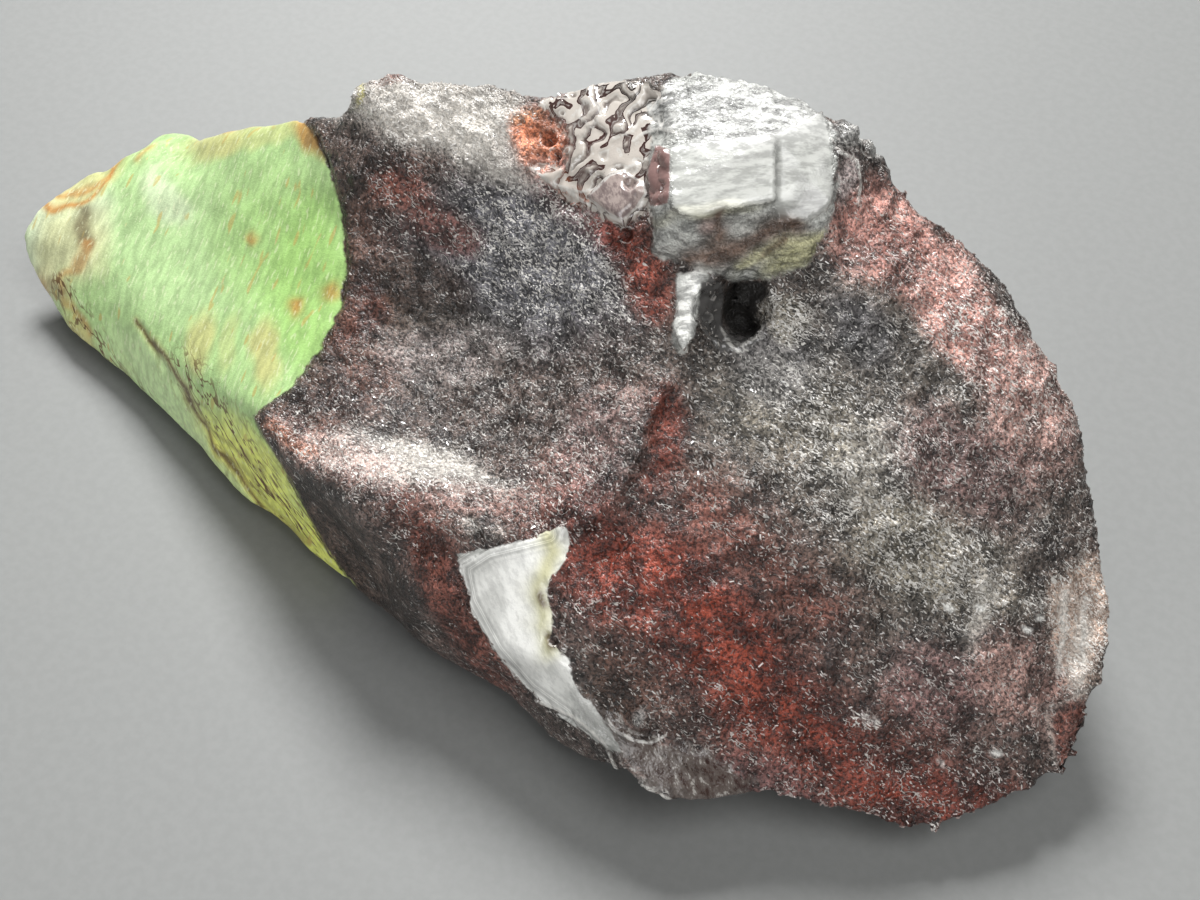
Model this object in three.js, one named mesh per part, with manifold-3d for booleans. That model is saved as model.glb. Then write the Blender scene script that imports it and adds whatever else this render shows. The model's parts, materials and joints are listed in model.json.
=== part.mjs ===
// A rough lump of raw calcite, grown and broken as one piece.
// Millimetres, +Z up, +X along the stone from its thin green end to its thick dark end.
// The origin is under the middle of the stone's box, on the surface that it rests on.
import * as THREE from 'three';
import { ConvexHull } from 'three/addons/math/ConvexHull.js';
import { ImprovedNoise } from 'three/addons/math/ImprovedNoise.js';
import { ConvexGeometry } from 'three/addons/geometries/ConvexGeometry.js';
import { mergeVertices } from 'three/addons/utils/BufferGeometryUtils.js';
import Module from 'manifold-3d';

// Driving dimensions of the skin: how fine it is, how far its points are eased, and the lumps
// and etched pits on it. The green end, from SMOOTH_END_X down, has a share of them.
const LONGEST_EDGE = 4.2;
const SOFTENING_PASSES = 2;
const SOFTENING = 0.45;
const OUTLINE_SHARE = 0.1;
const LUMP_SIZE = 11;
const LUMP_HEIGHT = 0.9;
const PIT_SIZE = 4.6;
const PIT_DEPTH = 0.5;
const SMOOTH_END_X = -26;
const SMOOTH_END_FADE = 8;
const SMOOTH_END_SHARE = 0.3;

// The stone's skin is laid out as two sheets, near and far, that meet along the outline
// seen from this point.
const OUTLOOK = new THREE.Vector3(73, -99.5, 166);
const OUTLOOK_AIM = new THREE.Vector3(18, -7, 28.5);

// The outline, once round from the thin tip, over the top and back along the foot
const TOP_EDGE = [
  [-75, -2, 9], [-74.5, 2, 12], [-70, 10, 15], [-64, 13.5, 18.5], [-64.5, 17.5, 17.5],
  [-61, 19, 18.5], [-54.5, 16, 22.5], [-46.5, 16, 27.5], [-36.5, 15.5, 33.5], [-28.5, 14, 38],
  [-27, 14.5, 42], [-25, 16.5, 44.5], [-17, 18, 46], [-8.5, 19.5, 47], [-4.5, 19.5, 47.5],
  [-2, 21.5, 48.5], [0.5, 23.5, 49.5], [4.5, 25, 51], [10, 25.5, 52.5], [14.5, 27, 52.5],
  [20, 29.5, 51], [25, 29, 50.5], [28.5, 30, 48.5], [31, 30.5, 46.5], [34.5, 29, 43.5],
  [39, 30, 42], [42, 30.5, 40.5], [49.5, 28.5, 36], [54.5, 25.5, 33], [60.5, 23, 28.5],
  [67.5, 15.5, 22], [70.5, 12, 17.5], [73, 7, 14.5], [74.5, 4, 11.5], [75.5, -0.5, 8.5],
];
const FRONT_LIP = [
  [75, -4, 6.5], [69.5, -11.5, 6], [66.5, -15, 5], [65, -17, 4.5], [60.5, -19, 5.5],
  [56.5, -20, 6.5], [51.5, -22.5, 7], [46.5, -25.5, 8], [42, -29, 8.5], [38, -30.5, 9],
  [34.5, -30, 10],
];
const FOOT_EDGE = [
  [31, -28, 4], [23.5, -27.5, 2.5], [16, -25, 2.5], [7.5, -23.5, 2.5], [1, -22.5, 2.5],
  [-8.5, -21.5, 2.5], [-18.5, -19, 2.5], [-25, -18.5, 2.5], [-33.5, -15.5, 2.5],
  [-41.5, -13, 2.5], [-49, -11, 2.5], [-58, -9.5, 2.5], [-62.5, -8.5, 3], [-68.5, -5.5, 4],
  [-73.5, -3.5, 6.5],
];

// The near sheet: what the outlook sees, from the green end to the dark end
const GREEN_END = [
  [-65.5, 3, 13.5], [-63.5, -1, 11.5], [-64, -5, 8],
  [-47.5, -7.5, 12], [-39.5, -10.5, 13], [-32, -13, 15], [-23, -15.5, 18.5],
  [-56.5, -7, 7], [-42.5, -12, 7], [-30.5, -15.5, 8.5], [-22, -17, 10],
  [-62, 6.5, 16.5], [-53.5, 2, 15.5], [-54.5, -3.5, 12.5], [-49.5, 8.5, 21], [-44, 1, 18],
  [-43, -5, 15], [-38.5, 8, 26.5], [-33, 0, 22.5], [-32, -6.5, 19], [-34, 12, 32],
  [-43, 12, 27.5], [-28.5, 6.5, 29.5], [-22.5, -1.5, 26], [-21.5, -8.5, 23], [-22, -13, 20.5],
];
const SADDLE = [
  [-24, 8.5, 36], [-20, 4, 31], [-16, -1.5, 26.5], [-15, -8.5, 23.5], [-14, -14, 21.5],
  [-19, 12, 41.5], [-15, 8.5, 35.5], [-11, 4.5, 30], [-7, -1.5, 26], [-6.5, -8.5, 23.5],
  [-6, -15, 22], [2, -13.5, 24], [-12.5, 17, 45.5], [-9.5, 12, 41.5], [-4.5, 8, 36.5],
  [-0.5, 3.5, 32], [3, -3, 28.5], [5.5, -9, 26], [13.5, -13, 27], [-2, 14.5, 44.5],
  [3, 10, 40.5], [7, 4.5, 36.5], [10.5, 0, 33.5], [14.5, -6.5, 30.5], [5.5, 17, 48.5],
  [9.5, 12.5, 46], [12, 7.5, 42.5], [16, 2.5, 38.5], [18.5, -1.5, 36],
];
const CREST = [
  [23.5, 1.5, 38.5], [23, -2, 36.5], [23, -6.5, 35], [23.5, -9, 33], [23.5, -13, 30], [21, -16, 28],
];
const UNDER_CREST = [
  [25.5, 1.5, 36.5], [25, -2, 34.5], [25, -6, 32], [25, -9.5, 29.5], [25, -13, 27.5],
  [22.5, -16.5, 25],
];
const SPUR_AND_SIDE = [
  [-15.5, -18.5, 20], [-8.5, -20, 21], [-1.5, -22, 22.5], [2.5, -20.5, 24], [7.5, -19.5, 24],
  [-15, -19, 11], [-6.5, -21, 12], [0.5, -22, 13.5], [5, -25, 13.5], [8, -23, 18.5],
  [11, -25, 14.5], [12.5, -25.5, 10], [20, -26.5, 7.5], [26, -27.5, 6.5],
];
const FRONT_FACET = [
  [10, -22, 21.5], [15, -19.5, 24], [19, -17, 26], [21.5, -18.5, 25], [21.5, -23, 22],
  [23.5, -25, 18.5], [12.5, -24, 18.5], [17, -26.5, 15.5], [22, -27.5, 13.5], [26, -28, 12],
  [30.5, -28.5, 12], [16.5, -22.5, 19.5],
];
const CLEAVED_BLOCK = [
  [9.5, 18, 48.5], [13, 16, 50.5], [17, 9, 48.5], [17.5, 18.5, 51.5], [21.5, 11.5, 48.5],
  [22.5, 22.5, 52], [25.5, 16, 49.5], [28, 24.5, 50.5], [30.5, 18.5, 47], [16, 8.5, 43.5],
  [20.5, 9.5, 42], [25.5, 10.5, 42], [29.5, 14, 43.5], [31, 18, 44.5],
];
const BIG_FACE = [
  [24.5, 6, 38.5], [29, 7, 38], [31.5, 11.5, 40.5], [34, 14.5, 43.5], [21.5, 6, 40],
  [34.5, 23, 43.5], [41, 19.5, 41], [46.5, 23.5, 38.5], [38.5, 11, 38.5], [45.5, 13, 36],
  [53.5, 19.5, 34], [35.5, 3.5, 36.5], [43.5, 4.5, 34], [51.5, 9, 31.5], [59.5, 15.5, 27.5],
  [32.5, -3.5, 34], [40, -4, 31.5], [48, -2, 28], [57, 4, 25], [64.5, 10, 21.5],
  [31.5, -9.5, 30], [38, -12, 26], [46, -10, 23.5], [54.5, -6.5, 20.5], [62.5, -1, 19],
  [68.5, 4, 15.5], [28.5, -18.5, 25], [35.5, -20, 21.5], [43.5, -18, 18], [52.5, -15, 15.5],
  [61, -10.5, 13.5], [68.5, -4, 12], [30.5, -23.5, 20], [34, -25.5, 15.5], [40, -24, 13.5],
  [48, -20.5, 11.5], [58, -17, 9], [65.5, -13, 8],
];

// The far sheet: the broken back and the underside
const BACK = [
  [-60, 19, 12], [-56, 22, 6], [-45, 22, 20], [-44, 26, 9], [-31, 23, 31], [-29, 28, 20],
  [-30, 31, 8], [-14, 25, 38], [-13, 30.5, 27], [-15, 34, 12], [2, 30, 40], [4, 33, 31],
  [6, 39.5, 26], [-2, 37, 24], [1, 39, 12], [16, 34, 42], [20, 38.5, 27], [17, 40, 12],
  [31, 36, 36], [34, 38, 22], [33, 37.5, 8], [45, 34, 30], [48, 35.5, 16], [47, 33, 5],
  [57.5, 28, 22], [60, 26.5, 10], [66.5, 18, 12], [62, 18, 3],
];
const UNDERSIDE = [
  [-66, 4, 3], [-58, 10, 1], [-50, -2, 0], [-44, 8, -1.5], [-40, 20, 1], [-30, -8, -0.5],
  [-26, 6, -1.5], [-24, 22, -1], [-10, -14, -0.5], [-8, 2, -1.5], [-8, 18, -1.5],
  [-4, 32, 1], [8, -16, -0.5], [10, -2, -1.5], [10, 14, -1.5], [12, 32, -0.5],
  [24, -19, 0], [27, -6, -1.5], [28, 10, -1.5], [28, 28, -0.5], [38, -19, 2.5],
  [42, -8, -1], [44, 6, -1.5], [44, 20, -1], [56, -9, 1.5], [58, 3, 0.5], [68, 3, 4.5],
];

// Flat-faced lumps and plates left by cleavage, each given by the corners of its outer face.
// All go the same way into the stone.
const LUMP_DEPTH = 8;
const CLEAVED_LUMPS = {
  plateau: [
    [13, 15.8, 50.9], [22.5, 21, 52.8], [25.8, 15.2, 50], [21.7, 11.4, 49.5], [19.5, 9.5, 49.1],
    [16.9, 9.4, 49.3],
  ],
  upperStep: [
    [22.3, 21.4, 52.3], [24.7, 27.9, 51.7], [27.9, 23.7, 50.1], [30.2, 19.4, 48.2],
    [29.4, 17.4, 47.4], [27.5, 15.5, 47.4], [25.5, 15.9, 48.6],
  ],
  lowerStep: [
    [14.5, 9.9, 48], [21.4, 12.4, 48.2], [25.4, 16.2, 48.4], [29.9, 20.3, 47], [30.1, 19.2, 44.3],
    [29.8, 15.6, 42], [24.6, 10.9, 41.1], [21, 10.5, 41.7], [15.8, 8.7, 42.6],
  ],
  sideStep: [
    [27.6, 24.8, 50], [27.9, 28.4, 50.4], [29.6, 27.3, 48.7], [31.9, 23.3, 45.9], [30.4, 21, 45.7],
  ],
  tongue: [
    [19.2, 9.5, 42.4], [21.4, 10.6, 42.2], [22, 7, 41], [23.7, 1.9, 39], [23.2, 1.2, 38.8],
    [21, 3, 39.7], [20.2, 6, 41],
  ],
};

// Rounded hollows: middle and half-widths
const HOLLOW_SIDES = 14;
const HOLLOW_RINGS = 9;
const HOLLOWS = {
  deepPit: { at: [25.4, 9.2, 39.4], half: [3, 3.4, 5.5] },
  sideRecess: { at: [23.2, 7.2, 40.6], half: [1.9, 2.4, 2.6] },
  redPocket: { at: [-0.4, 13.8, 44.6], half: [1.1, 1, 1.5] },
  secondPocket: { at: [2.2, 12.9, 44.6], half: [1, 0.9, 1.4] },
  ringedPit: { at: [9.5, 13.2, 46.8], half: [1.2, 1.1, 1.3] },
  smallPits: { at: [9.3, 8.3, 43.4], half: [0.9, 0.9, 1.2] },
};

// Flat breaks: a point on the plane, the way it faces and corners that bound it
const FLAT_BREAKS = {
  frontFacet: {
    at: [17.9, -23.2, 18.9],
    faces: [-0.08, -0.75, 0.655],
    corners: [
      [9.6, -22.7, 21.8], [18.8, -16, 26], [21.2, -17.1, 25.6], [24.4, -24.9, 19.3],
      [30.7, -28, 11.8], [21.9, -30, 12], [8, -27, 18],
    ],
  },
  cornerNotch: {
    at: [71.5, -1.2, 10],
    faces: [0.36, -0.52, 0.78],
    corners: [[67.9, -0.5, 13.4], [72, 3.6, 11.8], [80, -8, 5], [73.4, -9.5, 5.5]],
  },
  cornerChip: {
    at: [74.4, 1.6, 8.6],
    faces: [0.72, -0.3, 0.62],
    corners: [[71.9, 3, 11], [74.6, 8, 10], [80, 0, 6], [76, -8, 5]],
  },
  backCleavage: {
    at: [24, 36.4, 26],
    faces: [0.15, 0.97, 0.12],
    corners: [[6, 50, 50], [60, 24, 50], [62, 24, -6], [4, 50, -6]],
  },
  backLeftCleavage: {
    at: [-15, 28, 26],
    faces: [-0.25, 0.92, 0.3],
    corners: [[-42, 10, 48], [-1, 36, 48], [-3, 50, -6], [-44, 24, -6]],
  },
  backRightCleavage: {
    at: [62, 20.5, 12],
    faces: [0.75, 0.62, -0.22],
    corners: [[44, 46, 30], [80, 0, 24], [80, 0, -8], [44, 46, -8]],
  },
};
const BREAK_DEPTH = 9;

// The ground that the stone is cut flat on, wider than the stone
const GROUND_WIDTH = 300;
const GROUND_DEPTH = 20;

const wasm = await Module();
wasm.setup();

const vector = ([x, y, z]) => new THREE.Vector3(x, y, z);

// Flat coordinates of a point as the outlook sees it
const outlookTurn = new THREE.Matrix4()
  .lookAt(OUTLOOK, OUTLOOK_AIM, new THREE.Vector3(0, 0, 1))
  .transpose();
function seen(point) {
  const local = point.clone().sub(OUTLOOK).applyMatrix4(outlookTurn);
  return new THREE.Vector2(local.x / -local.z, local.y / -local.z);
}

// Points along a smooth closed curve through the corners, about as close as the longest edge
function pointsRound(corners) {
  const curve = new THREE.CatmullRomCurve3(corners, true, 'centripetal');
  const line = [];
  corners.forEach((corner, index) => {
    const next = corners[(index + 1) % corners.length];
    const count = Math.ceil(corner.distanceTo(next) / LONGEST_EDGE);
    for (let step = 0; step < count; step += 1) {
      line.push(curve.getPoint((index + step / count) / corners.length));
    }
  });
  return line;
}

function isInside(place, loop) {
  let inside = false;
  loop.forEach((a, index) => {
    const b = loop[(index + 1) % loop.length];
    const crosses = (a.y > place.y) !== (b.y > place.y);
    if (crosses && place.x < ((b.x - a.x) * (place.y - a.y)) / (b.y - a.y) + a.x) {
      inside = !inside;
    }
  });
  return inside;
}

// Joins a sheet's points into triangles: the underside of their hull on a paraboloid is
// the evenest way to join them.
function joinSheet(points, outline) {
  const flat = points.map(seen);
  const lifted = flat.map(({ x, y }) => new THREE.Vector3(x, y, x * x + y * y));
  const indexOf = new Map(lifted.map((point, index) => [point, index]));
  const triangles = [];
  for (const face of new ConvexHull().setFromPoints(lifted).faces) {
    const corners = [face.edge, face.edge.next, face.edge.prev];
    const triangle = corners.map((edge) => indexOf.get(edge.head().point));
    const middle = new THREE.Vector2();
    triangle.forEach((index) => middle.addScaledVector(flat[index], 1 / 3));
    if (face.normal.z < 0 && isInside(middle, outline)) {
      triangles.push(triangle.reverse());
    }
  }
  return triangles;
}

function layOutSkin() {
  const outline = pointsRound([...TOP_EDGE, ...FRONT_LIP, ...FOOT_EDGE].map(vector));
  const near = [
    GREEN_END, SADDLE, CREST, UNDER_CREST, SPUR_AND_SIDE, FRONT_FACET, CLEAVED_BLOCK, BIG_FACE,
  ].flat().map(vector);
  const far = [BACK, UNDERSIDE].flat().map(vector);
  const flatOutline = outline.map(seen);
  const nearSheet = joinSheet([...outline, ...near], flatOutline);
  const farSheet = joinSheet([...outline, ...far], flatOutline);
  const shift = (index) => (index < outline.length ? index : index + near.length);
  const triangles = [
    ...nearSheet,
    ...farSheet.map((triangle) => triangle.map(shift).reverse()),
  ];
  return { points: [...outline, ...near, ...far], triangles, outlineCount: outline.length };
}

// Halves every edge that is too long, until none is
function splitLongEdges(skin) {
  let { triangles } = skin;
  const { points } = skin;
  let split = true;
  while (split) {
    split = false;
    const middles = new Map();
    const middleOf = (a, b) => {
      const key = a < b ? `${a},${b}` : `${b},${a}`;
      if (!middles.has(key)) {
        middles.set(key, points.push(points[a].clone().lerp(points[b], 0.5)) - 1);
      }
      return middles.get(key);
    };
    const next = [];
    for (const [a, b, c] of triangles) {
      const sides = [[a, b, c], [b, c, a], [c, a, b]];
      const lengths = sides.map(([from, to]) => points[from].distanceTo(points[to]));
      const longest = lengths.indexOf(Math.max(...lengths));
      const [from, to, tip] = sides[longest];
      const tooLong = lengths.map((length) => length > LONGEST_EDGE);
      const count = tooLong.filter(Boolean).length;
      if (count === 0) {
        next.push([a, b, c]);
      } else if (count === 3) {
        const [ab, bc, ca] = sides.map(([start, end]) => middleOf(start, end));
        next.push([a, ab, ca], [ab, b, bc], [ca, bc, c], [ab, bc, ca]);
      } else if (count === 1) {
        const middle = middleOf(from, to);
        next.push([from, middle, tip], [middle, to, tip]);
      } else {
        const middle = middleOf(from, to);
        const toIsLong = tooLong[(longest + 1) % 3];
        const second = toIsLong ? middleOf(to, tip) : middleOf(tip, from);
        if (toIsLong) {
          next.push([from, middle, tip], [middle, to, second], [middle, second, tip]);
        } else {
          next.push([middle, to, tip], [from, middle, second], [second, middle, tip]);
        }
      }
      split = split || count > 0;
    }
    triangles = next;
  }
  return { ...skin, points, triangles };
}

// Eases every point towards the middle of its neighbours, the outline less than the rest
function soften(skin) {
  const neighbours = skin.points.map(() => new Set());
  for (const triangle of skin.triangles) {
    triangle.forEach((index, corner) => neighbours[index].add(triangle[(corner + 1) % 3]));
  }
  for (let pass = 0; pass < SOFTENING_PASSES; pass += 1) {
    const eased = skin.points.map((point, index) => {
      const middle = new THREE.Vector3();
      neighbours[index].forEach((other) => middle.add(skin.points[other]));
      middle.divideScalar(neighbours[index].size);
      const share = index < skin.outlineCount ? SOFTENING * OUTLINE_SHARE : SOFTENING;
      return point.clone().lerp(middle, share);
    });
    skin.points = eased;
  }
  return skin;
}

// Raises lumps and sinks etched pits, fainter on the smooth green end
function roughen(skin) {
  const normals = skin.points.map(() => new THREE.Vector3());
  for (const triangle of skin.triangles) {
    const [a, b, c] = triangle.map((index) => skin.points[index]);
    const normal = b.clone().sub(a).cross(c.clone().sub(a));
    triangle.forEach((index) => normals[index].add(normal));
  }
  const noise = new ImprovedNoise();
  const noiseAt = ({ x, y, z }, size) => noise.noise(x / size, y / size, z / size);
  skin.points = skin.points.map((point, index) => {
    const lumps = LUMP_HEIGHT * noiseAt(point, LUMP_SIZE);
    const pits = PIT_DEPTH * Math.abs(noiseAt(point, PIT_SIZE));
    const along = THREE.MathUtils.smoothstep(
      point.x, SMOOTH_END_X - SMOOTH_END_FADE, SMOOTH_END_X + SMOOTH_END_FADE,
    );
    const share = THREE.MathUtils.lerp(SMOOTH_END_SHARE, 1, along);
    return point.clone().addScaledVector(normals[index].normalize(), share * (lumps - pits));
  });
  return skin;
}

function solidFromGeometry(geometry) {
  const bare = geometry.index ? geometry.clone() : geometry;
  bare.deleteAttribute('normal');
  bare.deleteAttribute('uv');
  const merged = mergeVertices(bare, 1e-4);
  return new wasm.Manifold(new wasm.Mesh({
    numProp: 3,
    vertProperties: new Float32Array(merged.attributes.position.array),
    triVerts: new Uint32Array(merged.index.array),
  }));
}

function solidFromSkin({ points, triangles }) {
  return new wasm.Manifold(new wasm.Mesh({
    numProp: 3,
    vertProperties: new Float32Array(points.flatMap((point) => point.toArray())),
    triVerts: new Uint32Array(triangles.flat()),
  }));
}

// A flat face's corners, carried a given way, make a slab
function slabSolid(corners, shift) {
  return solidFromGeometry(
    new ConvexGeometry(corners.flatMap((corner) => [corner, corner.clone().add(shift)])),
  );
}

function lumpSolid(corners) {
  const inward = OUTLOOK_AIM.clone().sub(OUTLOOK).setLength(LUMP_DEPTH);
  return slabSolid(corners.map(vector), inward);
}

function hollowSolid({ at, half }) {
  const geometry = new THREE.SphereGeometry(1, HOLLOW_SIDES, HOLLOW_RINGS);
  geometry.scale(...half);
  geometry.translate(...at);
  return solidFromGeometry(geometry);
}

// What a flat break takes away: a slab standing on its plane
function breakSolid({ at, faces, corners }) {
  const outward = vector(faces).normalize();
  const plane = new THREE.Plane().setFromNormalAndCoplanarPoint(outward, vector(at));
  const onPlane = corners.map((corner) => plane.projectPoint(vector(corner), new THREE.Vector3()));
  return slabSolid(onPlane, outward.multiplyScalar(BREAK_DEPTH));
}

// Everything below the resting plane
function groundSolid() {
  const geometry = new THREE.BoxGeometry(GROUND_WIDTH, GROUND_WIDTH, GROUND_DEPTH);
  geometry.translate(0, 0, -GROUND_DEPTH / 2);
  return solidFromGeometry(geometry);
}

function geometryFromSolid(solid) {
  const mesh = solid.getMesh();
  const geometry = new THREE.BufferGeometry();
  geometry.setAttribute('position', new THREE.BufferAttribute(mesh.vertProperties, mesh.numProp));
  geometry.setIndex(new THREE.BufferAttribute(mesh.triVerts, 1));
  geometry.computeVertexNormals();
  return geometry;
}

function makeStone() {
  let stone = solidFromSkin(roughen(soften(splitLongEdges(layOutSkin()))));
  for (const corners of Object.values(CLEAVED_LUMPS)) {
    stone = stone.add(lumpSolid(corners));
  }
  for (const hollow of Object.values(HOLLOWS)) {
    stone = stone.subtract(hollowSolid(hollow));
  }
  for (const flatBreak of Object.values(FLAT_BREAKS)) {
    stone = stone.subtract(breakSolid(flatBreak));
  }
  return stone.subtract(groundSolid());
}

const calcite = new THREE.Mesh(
  geometryFromSolid(makeStone()),
  new THREE.MeshStandardMaterial({ color: 0x6f5f58, roughness: 0.45, metalness: 0 }),
);
calcite.name = 'calcite';
const middle = new THREE.Box3().setFromObject(calcite).getCenter(new THREE.Vector3());
calcite.position.set(-middle.x, -middle.y, 0);

const group = new THREE.Group();
group.add(calcite);

export default group;
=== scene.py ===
"""The looks of a rough lump of raw calcite: green and waxy at its thin end, dark, red and etched
over its body, with a clear cleaved block on top and a clear flat break in front."""
import json
import math

import bpy
import numpy as np
from bpy.props import FloatProperty, FloatVectorProperty, IntProperty, PointerProperty
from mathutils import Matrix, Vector, noise

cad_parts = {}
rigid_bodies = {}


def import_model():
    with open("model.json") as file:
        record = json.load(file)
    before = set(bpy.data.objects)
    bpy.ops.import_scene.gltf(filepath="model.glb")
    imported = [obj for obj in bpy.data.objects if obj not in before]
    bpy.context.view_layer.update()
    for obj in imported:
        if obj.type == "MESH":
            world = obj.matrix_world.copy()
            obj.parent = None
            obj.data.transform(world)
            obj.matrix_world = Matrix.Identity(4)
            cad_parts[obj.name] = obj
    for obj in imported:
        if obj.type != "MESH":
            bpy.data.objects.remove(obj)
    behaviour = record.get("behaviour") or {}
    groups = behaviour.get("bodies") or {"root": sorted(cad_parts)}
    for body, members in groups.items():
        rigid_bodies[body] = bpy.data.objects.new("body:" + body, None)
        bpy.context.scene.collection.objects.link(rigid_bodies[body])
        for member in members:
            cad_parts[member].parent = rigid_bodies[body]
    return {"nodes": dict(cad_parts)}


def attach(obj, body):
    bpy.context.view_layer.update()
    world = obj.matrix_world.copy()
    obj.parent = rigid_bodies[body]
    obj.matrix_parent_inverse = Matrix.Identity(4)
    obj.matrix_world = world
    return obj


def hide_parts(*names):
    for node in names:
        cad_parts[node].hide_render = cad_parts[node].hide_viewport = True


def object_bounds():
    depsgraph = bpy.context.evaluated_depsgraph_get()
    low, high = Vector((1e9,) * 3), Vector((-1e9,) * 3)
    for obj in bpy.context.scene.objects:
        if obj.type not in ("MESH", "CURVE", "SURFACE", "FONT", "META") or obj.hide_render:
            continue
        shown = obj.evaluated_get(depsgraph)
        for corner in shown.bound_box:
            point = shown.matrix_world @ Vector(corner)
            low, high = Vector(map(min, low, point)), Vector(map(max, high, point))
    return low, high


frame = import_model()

bl_info = {
    "name": "Raw Calcite",
    "version": (1, 0, 0),
    "blender": (4, 5, 0),
    "location": "3D View > Sidebar > Calcite",
    "description": "Builds the looks of a rough lump of raw calcite on its solid",
    "category": "Object",
}

CAD_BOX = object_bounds()
MM = 0.001

# The camera. Places on the side that it sees are given in the picture that it takes, in pixels
# of a 1200 by 900 frame. Sizes and depths are millimetres on the stone.
EYE = (0.07303, -0.10436, 0.16624)
AIM = (0.01843, -0.01167, 0.02856)
LENS = 50.0
SENSOR = 36.0
PICTURE_WIDTH = 1200
PICTURE_HEIGHT = 900

# Outlines of the stone's regions in the picture
OUTLINES = {
    "green": [
        (296, 60), (298, 116), (318, 140), (332, 175), (342, 215), (346, 262), (340, 308),
        (319, 350), (291, 386), (262, 407), (252, 416), (262, 436), (289, 479), (304, 509),
        (329, 554), (354, 586), (380, 660), (-80, 660), (-80, 60),
    ],
    "block": [
        (648, 108), (668, 84), (705, 68), (765, 80), (818, 104), (836, 134), (838, 205),
        (825, 232), (805, 268), (739, 284), (708, 271), (655, 256), (652, 215), (650, 150),
    ],
    "plateau": [
        (671, 146), (673, 206), (694, 218), (719, 217), (723, 208), (775, 200), (779, 222),
        (816, 218), (832, 203), (832, 157), (824, 111), (775, 134),
    ],
    "facet": [
        (457, 554), (487, 548), (531, 537), (548, 530), (566, 528), (570, 548), (560, 568),
        (546, 588), (554, 619), (548, 644), (566, 655), (578, 690), (608, 724), (622, 754),
        (598, 742), (560, 716), (520, 683), (492, 647), (473, 613), (461, 571),
    ],
    "melt": [
        (540, 106), (570, 88), (600, 74), (655, 84), (672, 92), (676, 130), (662, 150),
        (652, 205), (624, 226), (598, 214), (580, 204), (552, 188), (530, 168), (560, 166),
        (572, 140), (556, 118),
    ],
    "lip": [
        (572, 672), (590, 700), (622, 724), (655, 742), (705, 752), (752, 780), (748, 812),
        (690, 812), (640, 775), (600, 738), (572, 716),
    ],
    "tongue": [
        (676, 272), (712, 272), (702, 296), (697, 325), (683, 357), (672, 345), (676, 310),
    ],
    "lobe": [
        (586, 197), (596, 189), (610, 175), (623, 171), (643, 183), (646, 193), (636, 208),
        (622, 220), (608, 213), (595, 203),
    ],
    "pink_strip": [
        (656, 144), (670, 150), (669, 203), (650, 206), (648, 172),
    ],
    "smoky_glass": [
        (702, 284), (712, 278), (724, 284), (722, 310), (722, 328), (738, 342), (760, 330),
        (764, 338), (742, 352), (720, 350), (704, 332), (698, 312),
    ],
    "pit": [
        (729, 284), (745, 280), (766, 283), (770, 295), (757, 304), (752, 318), (761, 328),
        (747, 336), (733, 334), (723, 322), (724, 304),
    ],
    "notch": [
        (1040, 706), (1072, 694), (1104, 684), (1108, 712), (1098, 756), (1080, 778), (1044, 770),
        (1038, 736),
    ],
    "flake": [
        (630, 707), (646, 701), (648, 714), (640, 729), (630, 722),
    ],
    "flake_hollow": [
        (610, 716), (626, 724), (641, 731), (657, 722), (666, 732), (651, 742), (632, 738),
        (617, 730),
    ],
    "side_wall": [
        (252, 416), (287, 449), (329, 477), (369, 512), (410, 540), (470, 640), (560, 722),
        (610, 760), (560, 800), (340, 640), (300, 520),
    ],
}

# Lines in the picture
CREST = [(684, 373), (664, 388), (643, 427), (633, 460), (623, 485), (611, 503), (595, 516),
         (577, 526), (562, 529)]
GREEN_CRACK = [(140, 325), (168, 375), (199, 418), (230, 464), (260, 506), (300, 548)]
GREEN_CRACK_FORKS = [
    [(199, 418), (222, 430), (240, 452), (262, 470)],
    [(230, 464), (224, 486), (250, 520)],
    [(185, 398), (205, 402), (226, 420)],
]

# Raised threads of glass over the melted zone, and the rim of the pit, in the picture
GLASS_THREADS = [
    [(659, 98), (643, 114), (633, 132), (613, 139)],
    [(682, 134), (659, 129), (643, 134), (633, 142)],
    [(560, 186), (580, 192), (596, 189), (610, 175), (632, 166), (650, 160)],
    [(530, 168), (556, 184), (582, 200), (606, 214), (622, 221)],
    [(578, 116), (584, 104), (598, 104), (602, 116), (590, 126), (578, 116)],
    [(718, 326), (728, 340), (742, 346), (756, 338), (764, 326)],
    [(724, 340), (738, 352), (748, 350)],
    [(838, 152), (856, 160), (860, 182), (857, 204)],
]
FLAKE_RIM = [(606, 718), (616, 731), (634, 740), (651, 743), (666, 735)]
FACET_TORN_EDGE = [
    (549, 536), (557, 550), (553, 568), (545, 586), (548, 604), (544, 622), (548, 646),
]
TIP_VEINS = [(60, 284), (84, 325), (112, 370), (142, 402)]
FACET_RIM = [(564, 716), (528, 690), (495, 652), (468, 602), (461, 566), (487, 549), (548, 534)]
LIP_RIM = [(537, 700), (575, 716), (605, 742), (619, 773), (675, 801), (689, 812), (745, 812)]

# Small round spots: middle in the picture, radius and depth in mm, less than 0 for a bead
ROUND_SPOTS = [
    ((633, 186), 0.85, 0.8), ((606, 240), 0.7, 0.5), ((627, 235), 0.8, 0.6),
    ((549, 139), 0.9, 1.2), ((556, 155), 0.7, 1.0), ((707, 318), 0.5, 0.6),
    ((712, 297), 0.3, 0.3), ((550, 592), 0.45, 0.5), ((554, 641), 0.55, 0.6),
    ((628, 492), 0.3, 0.3), ((466, 532), 1.1, -0.6), ((494, 534), 0.9, -0.5),
    ((846, 130), 1.7, -0.9), ((872, 146), 1.2, -0.7),
]

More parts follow.
